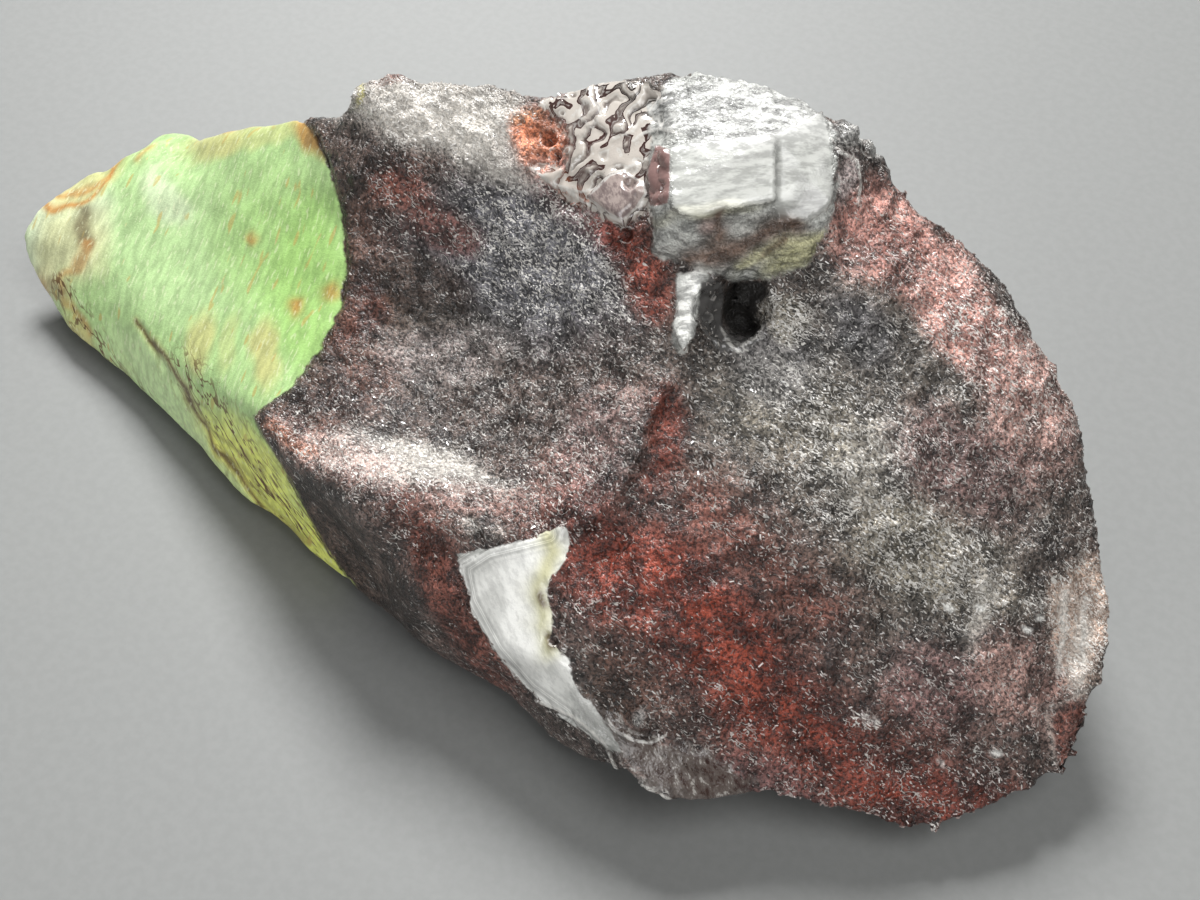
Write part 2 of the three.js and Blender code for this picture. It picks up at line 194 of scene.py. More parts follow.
# Colours of the surface, as red, green and blue from 0 to 1 in linear light
COLOURS = {
    "body": (0.070, 0.052, 0.045),
    "fringe": (0.050, 0.031, 0.022),
    "brown": (0.10, 0.050, 0.038),
    "slate": (0.092, 0.095, 0.107),
    "smoke": (0.10, 0.088, 0.074),
    "olive grey": (0.185, 0.166, 0.130),
    "deep red": (0.118, 0.027, 0.017),
    "bright red": (0.205, 0.040, 0.022),
    "red brown": (0.145, 0.050, 0.036),
    "pink": (0.47, 0.235, 0.195),
    "rose": (0.36, 0.215, 0.185),
    "beige": (0.52, 0.38, 0.30),
    "pale sugar and sheen": (0.68, 0.64, 0.58),
    "orange": (0.62, 0.22, 0.11),
    "white": (0.78, 0.78, 0.74),
    "cloud": (0.60, 0.60, 0.58),
    "mauve": (0.30, 0.25, 0.24),
    "green": (0.37, 0.54, 0.235),
    "mint": (0.385, 0.54, 0.265),
    "leaf": (0.31, 0.51, 0.155),
    "moss": (0.74, 0.78, 0.17),
    "cream": (0.50, 0.46, 0.19),
    "ivory and sheen": (0.62, 0.68, 0.50),
    "pale leaf": (0.56, 0.72, 0.38),
    "rust": (0.44, 0.20, 0.05),
    "umber": (0.085, 0.045, 0.022),
    "black": (0.026, 0.024, 0.022),
    "milk": (0.42, 0.425, 0.40),
    "silver": (0.34, 0.34, 0.325),
    "snow and glare": (0.97, 0.97, 0.93),
    "ash": (0.17, 0.155, 0.138),
    "dusk": (0.15, 0.095, 0.07),
    "straw": (0.60, 0.58, 0.34),
    "olive": (0.30, 0.29, 0.16),
    "plum": (0.20, 0.105, 0.10),
    "glint fleck": (0.84, 0.81, 0.76),
    "grain": (0.78, 0.76, 0.72),
    "green speck": (0.72, 0.76, 0.50),
    "stain": (0.46, 0.34, 0.10),
    "vein": (0.12, 0.065, 0.025),
    "glass shade": (0.45, 0.42, 0.40),
    "pale glass highlight": (0.76, 0.70, 0.63),
    "lip shade": (0.22, 0.185, 0.165),
    "lip light": (0.70, 0.67, 0.62),
    "lobe shade": (0.30, 0.235, 0.225),
    "lobe light": (0.58, 0.48, 0.44),
    "pink glass": (0.33, 0.205, 0.19),
    "smoky glass": (0.15, 0.145, 0.14),
    "glass rim highlight": (0.84, 0.82, 0.77),
}

# Soft patches of colour, laid on in this order: colour, middle and half sizes in the picture,
# turn in degrees and strength
BODY_PATCHES = [
    ("brown", (385, 262), (62, 160), 10, 0.7),
    ("slate", (520, 262), (135, 105), 15, 0.8),
    # Painted shade in the trough
    ("fringe", (420, 292), (74, 48), 25, 0.85),
    ("smoke", (450, 344), (90, 50), 0, 0.5),
    ("red brown", (400, 184), (40, 24), 20, 0.8),
    ("red brown", (442, 224), (46, 26), 30, 0.7),
    ("red brown", (352, 318), (44, 40), 0, 0.7),
    ("brown", (350, 390), (80, 34), -20, 0.7),
    # Painted sheen: pale, whitish bands where the light falls along the top
    ("pale sugar and sheen", (440, 112), (130, 44), 8, 0.8),
    ("pale sugar and sheen", (500, 155), (60, 34), 30, 0.6),
    ("red brown", (385, 74), (34, 12), -20, 0.7),
    # Painted sheen along the lit left ridge
    ("pale sugar and sheen", (400, 462), (130, 28), 14, 0.55),
    ("rose", (330, 448), (90, 30), 25, 0.6),
    ("orange", (290, 434), (40, 12), 25, 0.45),
    ("cream", (355, 98), (4, 16), 10, 0.9),
    ("orange", (534, 130), (26, 36), -20, 0.9),
    ("rust", (530, 112), (22, 12), 0, 0.6),
    ("rose", (470, 500), (80, 22), 5, 0.5),
    ("slate", (600, 450), (44, 70), 25, 0.35),
    ("rose", (560, 470), (50, 34), 0, 0.4),
    ("smoke", (850, 470), (240, 230), 20, 0.9),
    ("olive grey", (800, 430), (120, 70), 45, 0.6),
    ("olive grey", (930, 560), (120, 60), 30, 0.7),
    ("body", (800, 500), (80, 50), 40, 0.5),
    ("slate", (770, 360), (60, 60), 0, 0.5),
    ("pink", (880, 225), (56, 56), 0, 0.8),
    ("pink", (960, 310), (150, 46), 48, 0.75),
    ("rose", (1030, 410), (56, 90), -10, 0.7),
    ("red brown", (900, 250), (30, 50), 0, 0.5),
    ("slate", (860, 330), (60, 34), 50, 0.5),
    ("beige", (1078, 620), (36, 78), 5, 0.8),
    ("rose", (1020, 680), (60, 60), 0, 0.6),
    ("smoke", (990, 540), (40, 70), 0, 0.6),
    ("plum", (590, 150), (90, 70), 20, 0.9),
    ("mauve", (590, 118), (50, 16), -20, 0.6),
    ("orange", (540, 140), (30, 34), -20, 0.8),
    ("orange", (566, 182), (44, 10), 35, 0.7),
    ("rose", (548, 172), (26, 10), 35, 0.6),
    ("red brown", (640, 265), (34, 72), -18, 0.9),
    ("bright red", (612, 244), (26, 18), 0, 0.6),
    ("red brown", (666, 432), (28, 52), -8, 0.9),
    ("plum", (960, 470), (90, 60), 40, 0.5),
    ("plum", (930, 690), (70, 44), 30, 0.5),
    ("plum", (770, 785), (90, 26), 20, 0.8),
    ("deep red", (930, 792), (100, 30), 8, 0.8),
    ("deep red", (640, 606), (110, 56), 40, 0.85),
    ("deep red", (760, 690), (90, 50), 40, 0.8),
    ("bright red", (735, 622), (54, 40), 40, 0.45),
    ("mauve", (450, 352), (70, 36), 0, 0.35),
    ("rose", (604, 424), (36, 56), 25, 0.3),
    # Painted shade, darkest in the trough
    ("black", (422, 290), (52, 28), 25, 0.4),
    ("fringe", (622, 678), (52, 54), 30, 0.75),
    ("brown", (700, 640), (60, 36), 30, 0.5),
    ("body", (890, 735), (50, 26), 40, 0.6),
    ("olive grey", (784, 318), (26, 30), -20, 0.8),
    ("rose", (672, 770), (90, 30), 36, 0.35),
    ("silver", (600, 728), (44, 9), 42, 0.6),
    ("silver", (660, 790), (50, 8), 20, 0.5),
    ("ash", (680, 764), (40, 10), 30, 0.5),
    ("red brown", (448, 600), (100, 24), 62, 0.8),
    ("red brown", (1064, 736), (27, 42), 0, 0.95),
    ("rose", (1070, 742), (22, 30), 0, 0.25),
    ("cloud", (1098, 726), (12, 26), 0, 0.6),
    # Painted glints: pale streaks on the right face and by its corner
    ("pale sugar and sheen", (1078, 650), (14, 50), 8, 0.5),
    ("pale sugar and sheen", (980, 620), (14, 50), 15, 0.35),
    ("pale sugar and sheen", (872, 462), (44, 62), 38, 0.15),
    ("silver", (639, 713), (8, 13), 20, 0.9),
    ("black", (640, 734), (28, 7), 8, 0.9),
    ("mauve", (846, 178), (13, 28), 0, 0.9),
    ("silver", (846, 130), (18, 22), 0, 0.8),
    ("silver", (872, 146), (14, 14), 0, 0.8),
    ("ash", (466, 532), (13, 13), 0, 0.8),
    ("ash", (494, 534), (12, 10), 0, 0.7),
    # Painted shade inside the pit
    ("black", (745, 308), (23, 28), 0, 1.0),
]
# Painted glints, as small white spots: half sizes, turn and strength of each, and their middles
WHITE_GLINT = ((7, 4), 20, 0.8)
WHITE_GLINTS = [
    (944, 615), (981, 614), (1037, 618), (1026, 628), (873, 717), (862, 711), (944, 759),
    (1001, 750), (934, 834), (946, 828), (973, 824), (1074, 778),
]
# Soft bands of colour: colour, points in the picture, half width in mm and strength
BODY_BANDS = [
    ("red brown", [(700, 512), (760, 550), (825, 610)], 4.2, 0.75),
    ("deep red", [(586, 540), (680, 596), (735, 655), (765, 708), (830, 750), (945, 808)],
     6.4, 0.97),
    ("bright red", [(640, 566), (690, 600), (740, 660), (772, 722)], 3.4, 0.75),
    ("bright red", [(772, 722), (850, 762), (900, 790)], 2.0, 0.3),
    ("bright red", [(596, 226), (622, 240), (636, 262), (650, 300)], 1.6, 0.6),
    ("brown", [(612, 660), (650, 690), (690, 700)], 2.6, 0.6),
    ("deep red", [(660, 400), (668, 440), (655, 480)], 2.0, 0.7),
    ("red brown", [(404, 500), (430, 560), (500, 690)], 2.6, 0.7),
    ("white", [(1066, 590), (1062, 630), (1058, 668)], 0.3, 0.6),
    ("white", [(1083, 598), (1081, 660)], 0.3, 0.5),
    ("pale sugar and sheen", [(1046, 766), (1041, 738), (1040, 706), (1072, 695), (1102, 688)], 0.3, 0.28),
]
CLEAR_PATCHES = [
    ("cloud", (735, 112), (120, 40), 4, 0.75),
    ("silver", (735, 158), (44, 7), -5, 0.5),
    ("cream", (700, 214), (60, 10), -6, 0.3),
    ("white", (716, 208), (46, 6), -6, 0.4),
    ("silver", (806, 190), (10, 34), -40, 0.6),
    ("silver", (822, 160), (6, 40), -8, 0.4),
    ("ash", (742, 245), (100, 30), -4, 1.0),
    ("milk", (678, 236), (26, 30), 0, 0.8),
    ("milk", (740, 232), (20, 14), 0, 0.6),
    ("rose", (702, 228), (11, 10), 0, 0.5),
    ("olive", (800, 256), (44, 14), -30, 0.9),
    ("silver", (802, 206), (30, 16), -30, 0.6),
    ("snow and glare", (688, 300), (14, 50), 10, 0.9),
    # White facet with a painted reflection of the light over it
    ("snow and glare", (530, 640), (110, 150), 20, 1.0),
    ("milk", (500, 606), (18, 36), 20, 0.45),
    ("silver", (530, 668), (26, 14), 20, 0.4),
]
GREEN_PATCHES = [
    ("mint", (175, 240), (90, 100), 0, 0.8),
    ("leaf", (310, 290), (50, 110), 0, 0.8),
    ("leaf", (270, 240), (70, 80), 0, 0.5),
    ("green", (250, 170), (80, 40), 0, 0.5),
    ("cream", (197, 342), (20, 42), 12, 0.7),
    ("cream", (266, 356), (16, 44), 8, 0.75),
    ("cream", (230, 345), (12, 40), 8, 0.35),
    # Painted sheen: the glossy highlight on the green end's upper left
    ("ivory and sheen", (168, 200), (22, 36), -30, 0.5),
    ("cream", (250, 140), (90, 16), -8, 0.5),
    ("rust", (255, 124), (80, 8), -8, 0.7),
    ("rust", (316, 136), (30, 22), 40, 0.8),
    ("umber", (334, 140), (22, 24), 40, 0.8),
    ("cream", (215, 148), (40, 16), -25, 0.5),
    ("ivory and sheen", (60, 235), (56, 90), 20, 0.8),
    ("cream", (70, 250), (44, 60), 20, 0.5),
    ("cream", (85, 180), (50, 22), -30, 0.7),
    ("cream", (85, 360), (56, 34), 50, 0.9),
    ("moss", (250, 480), (110, 40), 50, 0.9),
    ("moss", (320, 560), (60, 44), 50, 0.9),
    ("green", (120, 340), (90, 22), 55, 0.7),
    ("pale leaf", (215, 470), (90, 13), 51, 0.7),
    ("pale leaf", (160, 392), (90, 26), 52, 0.6),
    ("umber", (128, 398), (40, 8), 48, 0.6),
]
# Soft bands of colour on the clear faces
CLEAR_BANDS = [
    ("dusk", [(688, 260), (722, 255), (756, 243), (792, 230)], 0.9, 0.95),
    ("dusk", [(713, 218), (714, 242)], 0.55, 0.95),
    ("straw", [(744, 266), (786, 250), (824, 232)], 0.6, 0.7),
    ("umber", [(766, 258), (784, 246)], 0.3, 0.8),
    # Painted highlight along the facet's rim
    ("snow and glare", FACET_RIM, 0.45, 0.9),
    ("straw", FACET_TORN_EDGE, 1.2, 0.9),
    ("umber", [(547, 592), (549, 602)], 0.45, 0.9),
    ("umber", [(548, 634), (549, 644)], 0.45, 0.9),
    ("milk", [(552, 664), (576, 704), (606, 740)], 0.9, 0.5),
]
# How thick the pale flecks, which are painted glints, and the grains lie where no patch says
# otherwise, and the patches: level, middle and half sizes in the picture, turn in degrees and
# strength. Some patches thicken the painted glints on the lit bands and the white spots, and
# some thin them in the shaded trough and the pit.
PLAIN_SPARKLE = 0.45
SPARKLE_PATCHES = [
    (0.1, (352, 240), (26, 150), 0, 0.9), (0.05, (415, 296), (60, 44), 25, 0.85),
    (0.85, (560, 250), (110, 90), 20, 0.9), (1.0, (440, 112), (130, 44), 8, 0.9),
    (0.9, (400, 462), (150, 30), 14, 0.9), (0.7, (560, 470), (60, 40), 0, 0.8),
    (0.8, (840, 450), (130, 80), 45, 0.8), (0.9, (940, 570), (100, 60), 30, 0.8),
    (0.85, (1000, 350), (140, 60), 50, 0.7), (1.0, (1080, 620), (40, 90), 5, 0.9),
    (0.22, (700, 590), (170, 76), 34, 0.95), (0.28, (840, 730), (170, 44), 34, 0.9),
    (0.1, (616, 240), (30, 28), 0, 1.0), (1.5, (786, 318), (26, 34), -20, 0.9),
    (0.15, (640, 265), (30, 70), -18, 0.9), (0.1, (666, 432), (26, 50), -8, 0.9),
    (0.1, (540, 140), (34, 40), -20, 0.9), (0.8, (900, 770), (80, 22), 30, 0.5),
    (0.05, (330, 560), (50, 120), -40, 0.9), (0.05, (1064, 736), (26, 42), 0, 0.9),
    (0.3, (620, 680), (50, 40), 30, 0.7), (0.0, (745, 308), (26, 30), 0, 1.0),
    (0.05, (448, 600), (80, 30), 62, 0.9), (1.6, (1032, 600), (18, 12), -10, 1.0),
    (1.6, (864, 716), (18, 10), 20, 1.0), (1.6, (955, 832), (26, 9), -10, 1.0),
    (1.4, (1070, 779), (10, 7), 0, 1.0), (1.2, (1064, 590), (16, 40), 10, 0.8),
]
# Rust and umber lines on the green end: colour, points in the picture, width in mm, strength
GREEN_LINES = [
    ("rust", GREEN_CRACK, 0.5, 0.35),
    ("umber", GREEN_CRACK, 0.24, 0.9),
    ("umber", GREEN_CRACK_FORKS[0], 0.2, 0.5),
    ("umber", GREEN_CRACK_FORKS[1], 0.2, 0.5),
    ("umber", GREEN_CRACK_FORKS[2], 0.2, 0.4),
    ("umber", [(86, 205), (83, 222), (86, 244)], 0.55, 0.7),
    ("rust", [(86, 244), (80, 268), (69, 282), (78, 312), (96, 338)], 0.4, 0.6),
    ("rust", [(120, 150), (100, 172), (74, 190), (44, 200)], 0.3, 0.7),
    ("rust", [(106, 158), (104, 175), (88, 195), (60, 206), (40, 208)], 0.3, 0.9),
    ("rust", [(142, 150), (138, 166)], 0.5, 0.6),
    ("umber", [(68, 296), (60, 280)], 0.6, 0.5),
    ("umber", [(222, 452), (246, 470), (270, 500), (306, 548)], 0.35, 0.4),
    ("rust", [(300, 300), (301, 306)], 0.8, 0.8),
    ("rust", [(330, 289), (331, 292)], 0.7, 0.7),
    ("rust", [(244, 236), (247, 238)], 0.5, 0.7),
    ("rust", [(42, 284), (46, 290)], 1.2, 0.7),
]

# The skin's relief: noise, size and height in mm, level that stays in place, noise settings
RELIEFS = {
    "lumps": ("CLOUDS", 4.5, 1.3, 0.5, {"noise_depth": 2}),
    "pits": ("VORONOI", 1.9, 0.55, 1.0, {"noise_intensity": 1.2}),
    "sugar": ("CLOUDS", 0.75, 0.5, 0.5, {"noise_type": "HARD_NOISE", "noise_depth": 2}),
    "wax": ("CLOUDS", 6.0, 0.5, 0.5, {"noise_depth": 1}),
    "fractures": ("VORONOI", 1.5, 0.6, 0.6, {"distance_metric": "MANHATTAN"}),
}
# How many times the skin, and then the green end, is smoothed
EASE_ROUNDS = 40
GREEN_EASE_ROUNDS = 60
# Heights and depths of what stands on the skin or is cut into it, in mm
LOBE_HEIGHT = 0.5
FLAT_LOBE_HEIGHT = 0.8
THREAD_HEIGHT = 0.2
RING_HEIGHT = 0.12
CRUST_STEP = 0.75
CREST_CURL = 0.6
FLAKE_HEIGHT = 0.7
FLAKE_HOLLOW_DEPTH = 0.8
NOTCH_DEPTH = 0.8
PIT_DEPTH = 1.6
CRACK_DEPTH = 0.3
# Sizes and half widths, in mm
LOBE_SIZE = 2.3
LOBE_BEND = 2.0
THREAD_WIDTH = 0.3
CURL_WIDTH = 0.6
CRACK_WIDTH = 0.3
CRACK_VEINS_WIDTH = 2.0
TIP_VEINS_WIDTH = 1.3
FRINGE_WIDTH = 2.2
# How much shorter lengths along y count in the lobes' pattern, so that the lobes run that way
LOBE_SQUEEZE = 0.55
# How far the fine veins lie from the crack, in pixels
VEINS_ASIDE = (16, -8)
# A distance that stands for nowhere near, in mm
FAR_AWAY = 20.0
# How much of a normal points at the camera where the skin starts to count as seen and where it
# is seen in full, and the least share seen that still carries thin lines
FACING = (-0.15, 0.05)
LEAST_SEEN = 0.05
# Over what distance the patches' edges wander and how far, in mm
WANDERS = [(9.0, 1.5), (2.6, 0.55)]
# Size of the red and pale stretches on the side that isn't seen, in mm
FAR_STRETCH = 16.0

# How soft each region's border is in the finish and how far it strays, in mm
BORDERS = {
    "green": (0.18, 0.4), "block": (0.3, 0.8), "plateau": (0.2, 0.15), "facet": (0.12, 0.45),
    "melt": (0.5, 1.6), "lip": (0.5, 1.2), "tongue": (0.2, 0.4), "lobe": (0.12, 0.05),
    "pink_strip": (0.12, 0.1), "smoky_glass": (0.2, 0.3), "pit": (0.3, 0.5),
}
# Patterns of the finish: size in mm, octaves and roughness
PATTERNS = {
    "ragged": (1.6, 2.0, 0.6), "fine": (0.42, 2.0, 0.7), "mottle": (3.4, 2.0, 0.6),
    "strands": (0.45, 0.0, 0.55), "clusters": (1.1, 1.0, 0.7), "specks": (0.24, 0.0, 0.55),
    "dashes": (0.42, 1.0, 0.6), "waves": (1.1, 2.0, 0.7), "green specks": (0.36, 0.0, 0.55),
    "stains": (1.5, 1.0, 0.7), "veins": (1.5, 2.0, 0.6), "folds": (1.1, 3.0, 0.75),
    "layers": (0.30, 0.0, 0.55), "sheen": (0.9, 3.0, 0.75), "grain tint": (1.2, 3.0, 0.55),
    "floor": (1.2, 2.0, 0.55),
}
# The way each streaky pattern runs, in degrees down from rightwards in the picture, and how
# many times longer it is that way
STREAKS = {
    "glint_flecks": (38.0, 2.0), "dashes": (38.0, 3.5), "waves": (108.0, 3.0), "veins": (52.0, 5.0),
    "folds": (-4.0, 3.0), "sheen": (62.0, 2.2),
}
# The glints' size and the bumps' height, in mm
GLINT_SIZE = 0.33
BUMP_HEIGHT = 0.42
# A grain's lean, as shares of the cube that it starts from, and its length, width and height
GRAIN_LEAN = (0.28, 0.16, 0.0)
GRAIN_SHAPE = (1.0, 0.32, 0.26)
# The smallest grain's share of the largest, the clumps' size and the bare strip by the green end
# in mm, and the way that most grains lie, in degrees down from rightwards in the picture
SMALLEST_GRAIN = 0.45
GRAIN_CLUMPS = 2.2
BARE_STRIP = 2.5
GRAIN_WAY = 128.0

# Lights: name, place and width in metres, power in watts
LIGHTS = [
    ("key", (-0.24, 0.36, 0.50), 0.24, 7.8),
    ("top", (0.30, -0.05, 0.60), 0.45, 2.4),
    ("fill", (0.0, -0.7, 0.30), 0.5, 2.6),
]
ROOM_COLOUR = (1.0, 0.98, 0.95, 1.0)
ROOM_STRENGTH = 0.07
FLOOR_WIDTH = 4.0


def unit(vector):
    return vector / np.linalg.norm(vector)


def unit_rows(vectors):
    return vectors / np.linalg.norm(vectors, axis=1)[:, None]


def smoothstep(low, high, values):
    share = np.clip((values - low) / (high - low), 0.0, 1.0)
    return share * share * (3.0 - 2.0 * share)


def fade(distance, width):
    """1 on a line, easing to 0 over about the width on either side."""
    return np.exp(-((distance / width) ** 2))


def camera_axes():
    """The camera's place and the ways ahead, aside and up, in metres."""
    eye = np.array(EYE)
    ahead = unit(np.array(AIM) - eye)
    aside = unit(np.cross(ahead, (0.0, 0.0, 1.0)))
    return eye, ahead, aside, np.cross(aside, ahead)


FOCAL = LENS / SENSOR * PICTURE_WIDTH
PIXEL_MM = np.linalg.norm(np.array(AIM) - np.array(EYE)) / FOCAL / MM


def picture_places(points):
    """Where each point, in metres, is in the picture, in pixels."""
    eye, ahead, aside, up = camera_axes()
    from_eye = points - eye
    depth = from_eye @ ahead
    across = PICTURE_WIDTH / 2 + FOCAL * (from_eye @ aside) / depth
    down = PICTURE_HEIGHT / 2 - FOCAL * (from_eye @ up) / depth
    return np.stack([across, down], 1)


def picture_way(angle):
    """The way in space that runs along the picture, turned down from rightwards by the angle."""
    _, _, aside, up = camera_axes()
    turn = math.radians(angle)
    return Vector(aside * math.cos(turn) - up * math.sin(turn))


def line_distance(places, line):
    """Each place's distance from a line through points of the picture, in mm on the stone."""
    nearest = np.full(len(places), np.inf)
    for start, end in zip(line, line[1:]):
        start, way = np.array(start, float), np.subtract(end, start).astype(float)
        share = np.clip((places - start) @ way / max(way @ way, 1e-9), 0.0, 1.0)
        nearest = np.minimum(nearest, np.linalg.norm(places - start - share[:, None] * way, axis=1))
    return nearest * PIXEL_MM


def inside_distance(places, edge):
    """Each place's distance in mm from a closed outline of the picture, positive inside."""
    inside = np.zeros(len(places), bool)
    across, down = places.T
    for (u0, v0), (u1, v1) in zip(edge, edge[1:] + edge[:1]):
        if v0 != v1:
            crossing = (u1 - u0) * (down - v0) / (v1 - v0) + u0
            inside ^= ((v0 > down) != (v1 > down)) & (across < crossing)
    distance = line_distance(places, edge + edge[:1])
    return np.where(inside, distance, -distance)


def patch_share(places, middle, half, turn):
    """1 at a patch's middle, easing to 0 at its edge."""
    angle = math.radians(turn)
    across, down = (places - np.array(middle, float)).T
    along = (across * math.cos(angle) + down * math.sin(angle)) / half[0]
    beside = (down * math.cos(angle) - across * math.sin(angle)) / half[1]
    return 1.0 - smoothstep(0.45, 1.15, np.hypot(along, beside))


def noise_ways(points, size):
    """A smooth random direction at each point, with features of the given size in mm."""
    scale = 1.0 / (size * MM)
    return np.array([noise.noise_vector(Vector(point) * scale)[:] for point in points])


def read_points(mesh):
    points = np.empty(len(mesh.vertices) * 3)
    mesh.vertices.foreach_get("co", points)
    return points.reshape(-1, 3)


def read_normals(mesh):
    normals = np.empty(len(mesh.vertices) * 3, np.float32)
    mesh.vertex_normals.foreach_get("vector", normals)
    return normals.reshape(-1, 3).astype(float)


def write_points(mesh, points):
    mesh.vertices.foreach_set("co", np.asarray(points, np.float32).ravel())
    mesh.update()


def select_only(piece):
    bpy.ops.object.select_all(action="DESELECT")
    piece.select_set(True)
    bpy.context.view_layer.objects.active = piece


def apply_modifier(piece, kind, **settings):
    modifier = piece.modifiers.new(kind.title(), kind)
    for name, value in settings.items():
        setattr(modifier, name, value)
    select_only(piece)
    bpy.ops.object.modifier_apply(modifier=modifier.name)


def write_group(piece, name, weights, levels=32):
    """A vertex group holding the weights, in steps fine enough not to show."""
    group = piece.vertex_groups.get(name) or piece.vertex_groups.new(name=name)
    steps = np.rint(np.clip(weights, 0.0, 1.0) * levels).astype(int)
    for step in np.unique(steps):
        group.add(np.flatnonzero(steps == step).tolist(), step / levels, "REPLACE")


def write_share(mesh, name, values):
    layer = mesh.attributes.new(name, "FLOAT", "POINT")
    layer.data.foreach_set("value", np.asarray(values, np.float32))


def write_colours(mesh, name, values):
    layer = mesh.attributes.new(name, "FLOAT_COLOR", "POINT")
    rgba = np.concatenate([values, np.ones((len(values), 1))], 1)
    layer.data.foreach_set("color", rgba.astype(np.float32).ravel())


def read_share(mesh, name):
    values = np.empty(len(mesh.vertices), np.float32)
    mesh.attributes[name].data.foreach_get("value", values)
    return values.astype(float)


def facing_camera(mesh):
    """1 where the skin faces the camera, easing to 0 where it turns away."""
    return smoothstep(*FACING, read_normals(mesh) @ -camera_axes()[1])


def read_zones(piece):
    """How far inside each region every point of the piece is, in mm, and which way it faces."""
    mesh = piece.data
    points = read_points(mesh)
    places = picture_places(points)
    if "near" in mesh.attributes:
        near = read_share(mesh, "near")
    else:
        near = facing_camera(mesh)
    zones = {"points": points, "places": places, "near": near}
    # The green end alone goes on round the side that isn't seen
    farthest = 10.0 * near - 2.5
    for name, edge in OUTLINES.items():
        inside = inside_distance(places, edge)
        zones[name] = inside if name == "green" else np.minimum(inside, farthest)
    return zones


def copy_of_solid(name):
    """The stone's solid as a new closed mesh, its doubled corners merged."""
    solid = frame["nodes"]["calcite"]
    piece = bpy.data.objects.new(name, solid.data.copy())
    bpy.context.scene.collection.objects.link(piece)
    piece.data.materials.clear()
    select_only(piece)
    bpy.ops.object.mode_set(mode="EDIT")
    bpy.ops.mesh.select_all(action="SELECT")
    bpy.ops.mesh.remove_doubles(threshold=1e-6)
    bpy.ops.object.mode_set(mode="OBJECT")
    return piece


def ease(piece, weights, rounds):
    write_group(piece, "ease", weights)
    apply_modifier(piece, "SMOOTH", factor=0.5, iterations=rounds, vertex_group="ease")


def raise_relief(piece, weights, name):
    kind, size, height, middle, settings = RELIEFS[name]
    texture = bpy.data.textures.new(name, kind)
    texture.noise_scale = size * MM
    for key, value in settings.items():
        setattr(texture, key, value)
    write_group(piece, "relief", weights)
    apply_modifier(
        piece, "DISPLACE", texture=texture, texture_coords="LOCAL", strength=height * MM,
        mid_level=middle, vertex_group="relief",
    )


def shape_stone(piece, look):
    """Eases the solid's flat triangles away and gives the skin its lumps, pits and grain."""
    apply_modifier(piece, "REMESH", mode="VOXEL", voxel_size=look.finest_edge, adaptivity=0.0)
    drop_crumbs(piece)
    zones = read_zones(piece)
    crisp = np.maximum.reduce([
        smoothstep(-0.6, 0.2, zones["block"]), smoothstep(-0.6, 0.2, zones["facet"]),
        smoothstep(-0.6, 0.2, zones["tongue"]),
    ])
    ease(piece, 1.0 - 0.96 * crisp, EASE_ROUNDS)
    write_share(piece.data, "near", facing_camera(piece.data))
    green = smoothstep(0.0, 4.0, zones["green"])
    ease(piece, green, GREEN_EASE_ROUNDS)

    zones = read_zones(piece)
    crisp = np.maximum(zones["block"], np.maximum(zones["facet"], zones["tongue"]))
    crisp = smoothstep(-0.3, 0.8, crisp)
    green = smoothstep(-0.3, 0.4, zones["green"])
    melt = smoothstep(-0.5, 1.0, np.maximum(zones["melt"], zones["lip"]))
    wall = smoothstep(-1.0, 1.5, zones["side_wall"])
    notch = smoothstep(-0.3, 0.3, zones["notch"])
    rough = (1 - green) * (1 - crisp) * (1 - melt) * (1 - 0.75 * wall) * (1 - 0.8 * notch)
    for name in ("lumps", "pits", "sugar"):
        raise_relief(piece, rough, name)
    raise_relief(piece, green, "wax")
    plateau = smoothstep(-0.4, 0.4, zones["plateau"])
    block = smoothstep(-0.3, 0.8, zones["block"]) * (1 - 0.92 * plateau)
    block = np.maximum(block, 0.2 * smoothstep(-0.3, 0.8, zones["lip"]))
    raise_relief(piece, block, "fractures")


def melted_steps(points, chosen):
    """Height in mm of melted-looking lobes at the chosen points, and the level they come from."""
    height = np.zeros(len(points))
    levels = np.zeros(len(points))
    for index in np.flatnonzero(chosen):
        place = Vector(points[index]) / MM
        place += noise.noise_vector(place / LOBE_SIZE) * LOBE_BEND
        place.y *= LOBE_SQUEEZE
        level = 1.7 * noise.noise(place / LOBE_SIZE) + 0.5 * noise.noise(place / (0.4 * LOBE_SIZE))
        whole = math.floor(level)
        part = level - whole
        rise = min(max((part - 0.36) / 0.28, 0.0), 1.0)
        height[index] = LOBE_HEIGHT * (whole + rise * rise * (3.0 - 2.0 * rise))
        levels[index] = level
    return height, levels


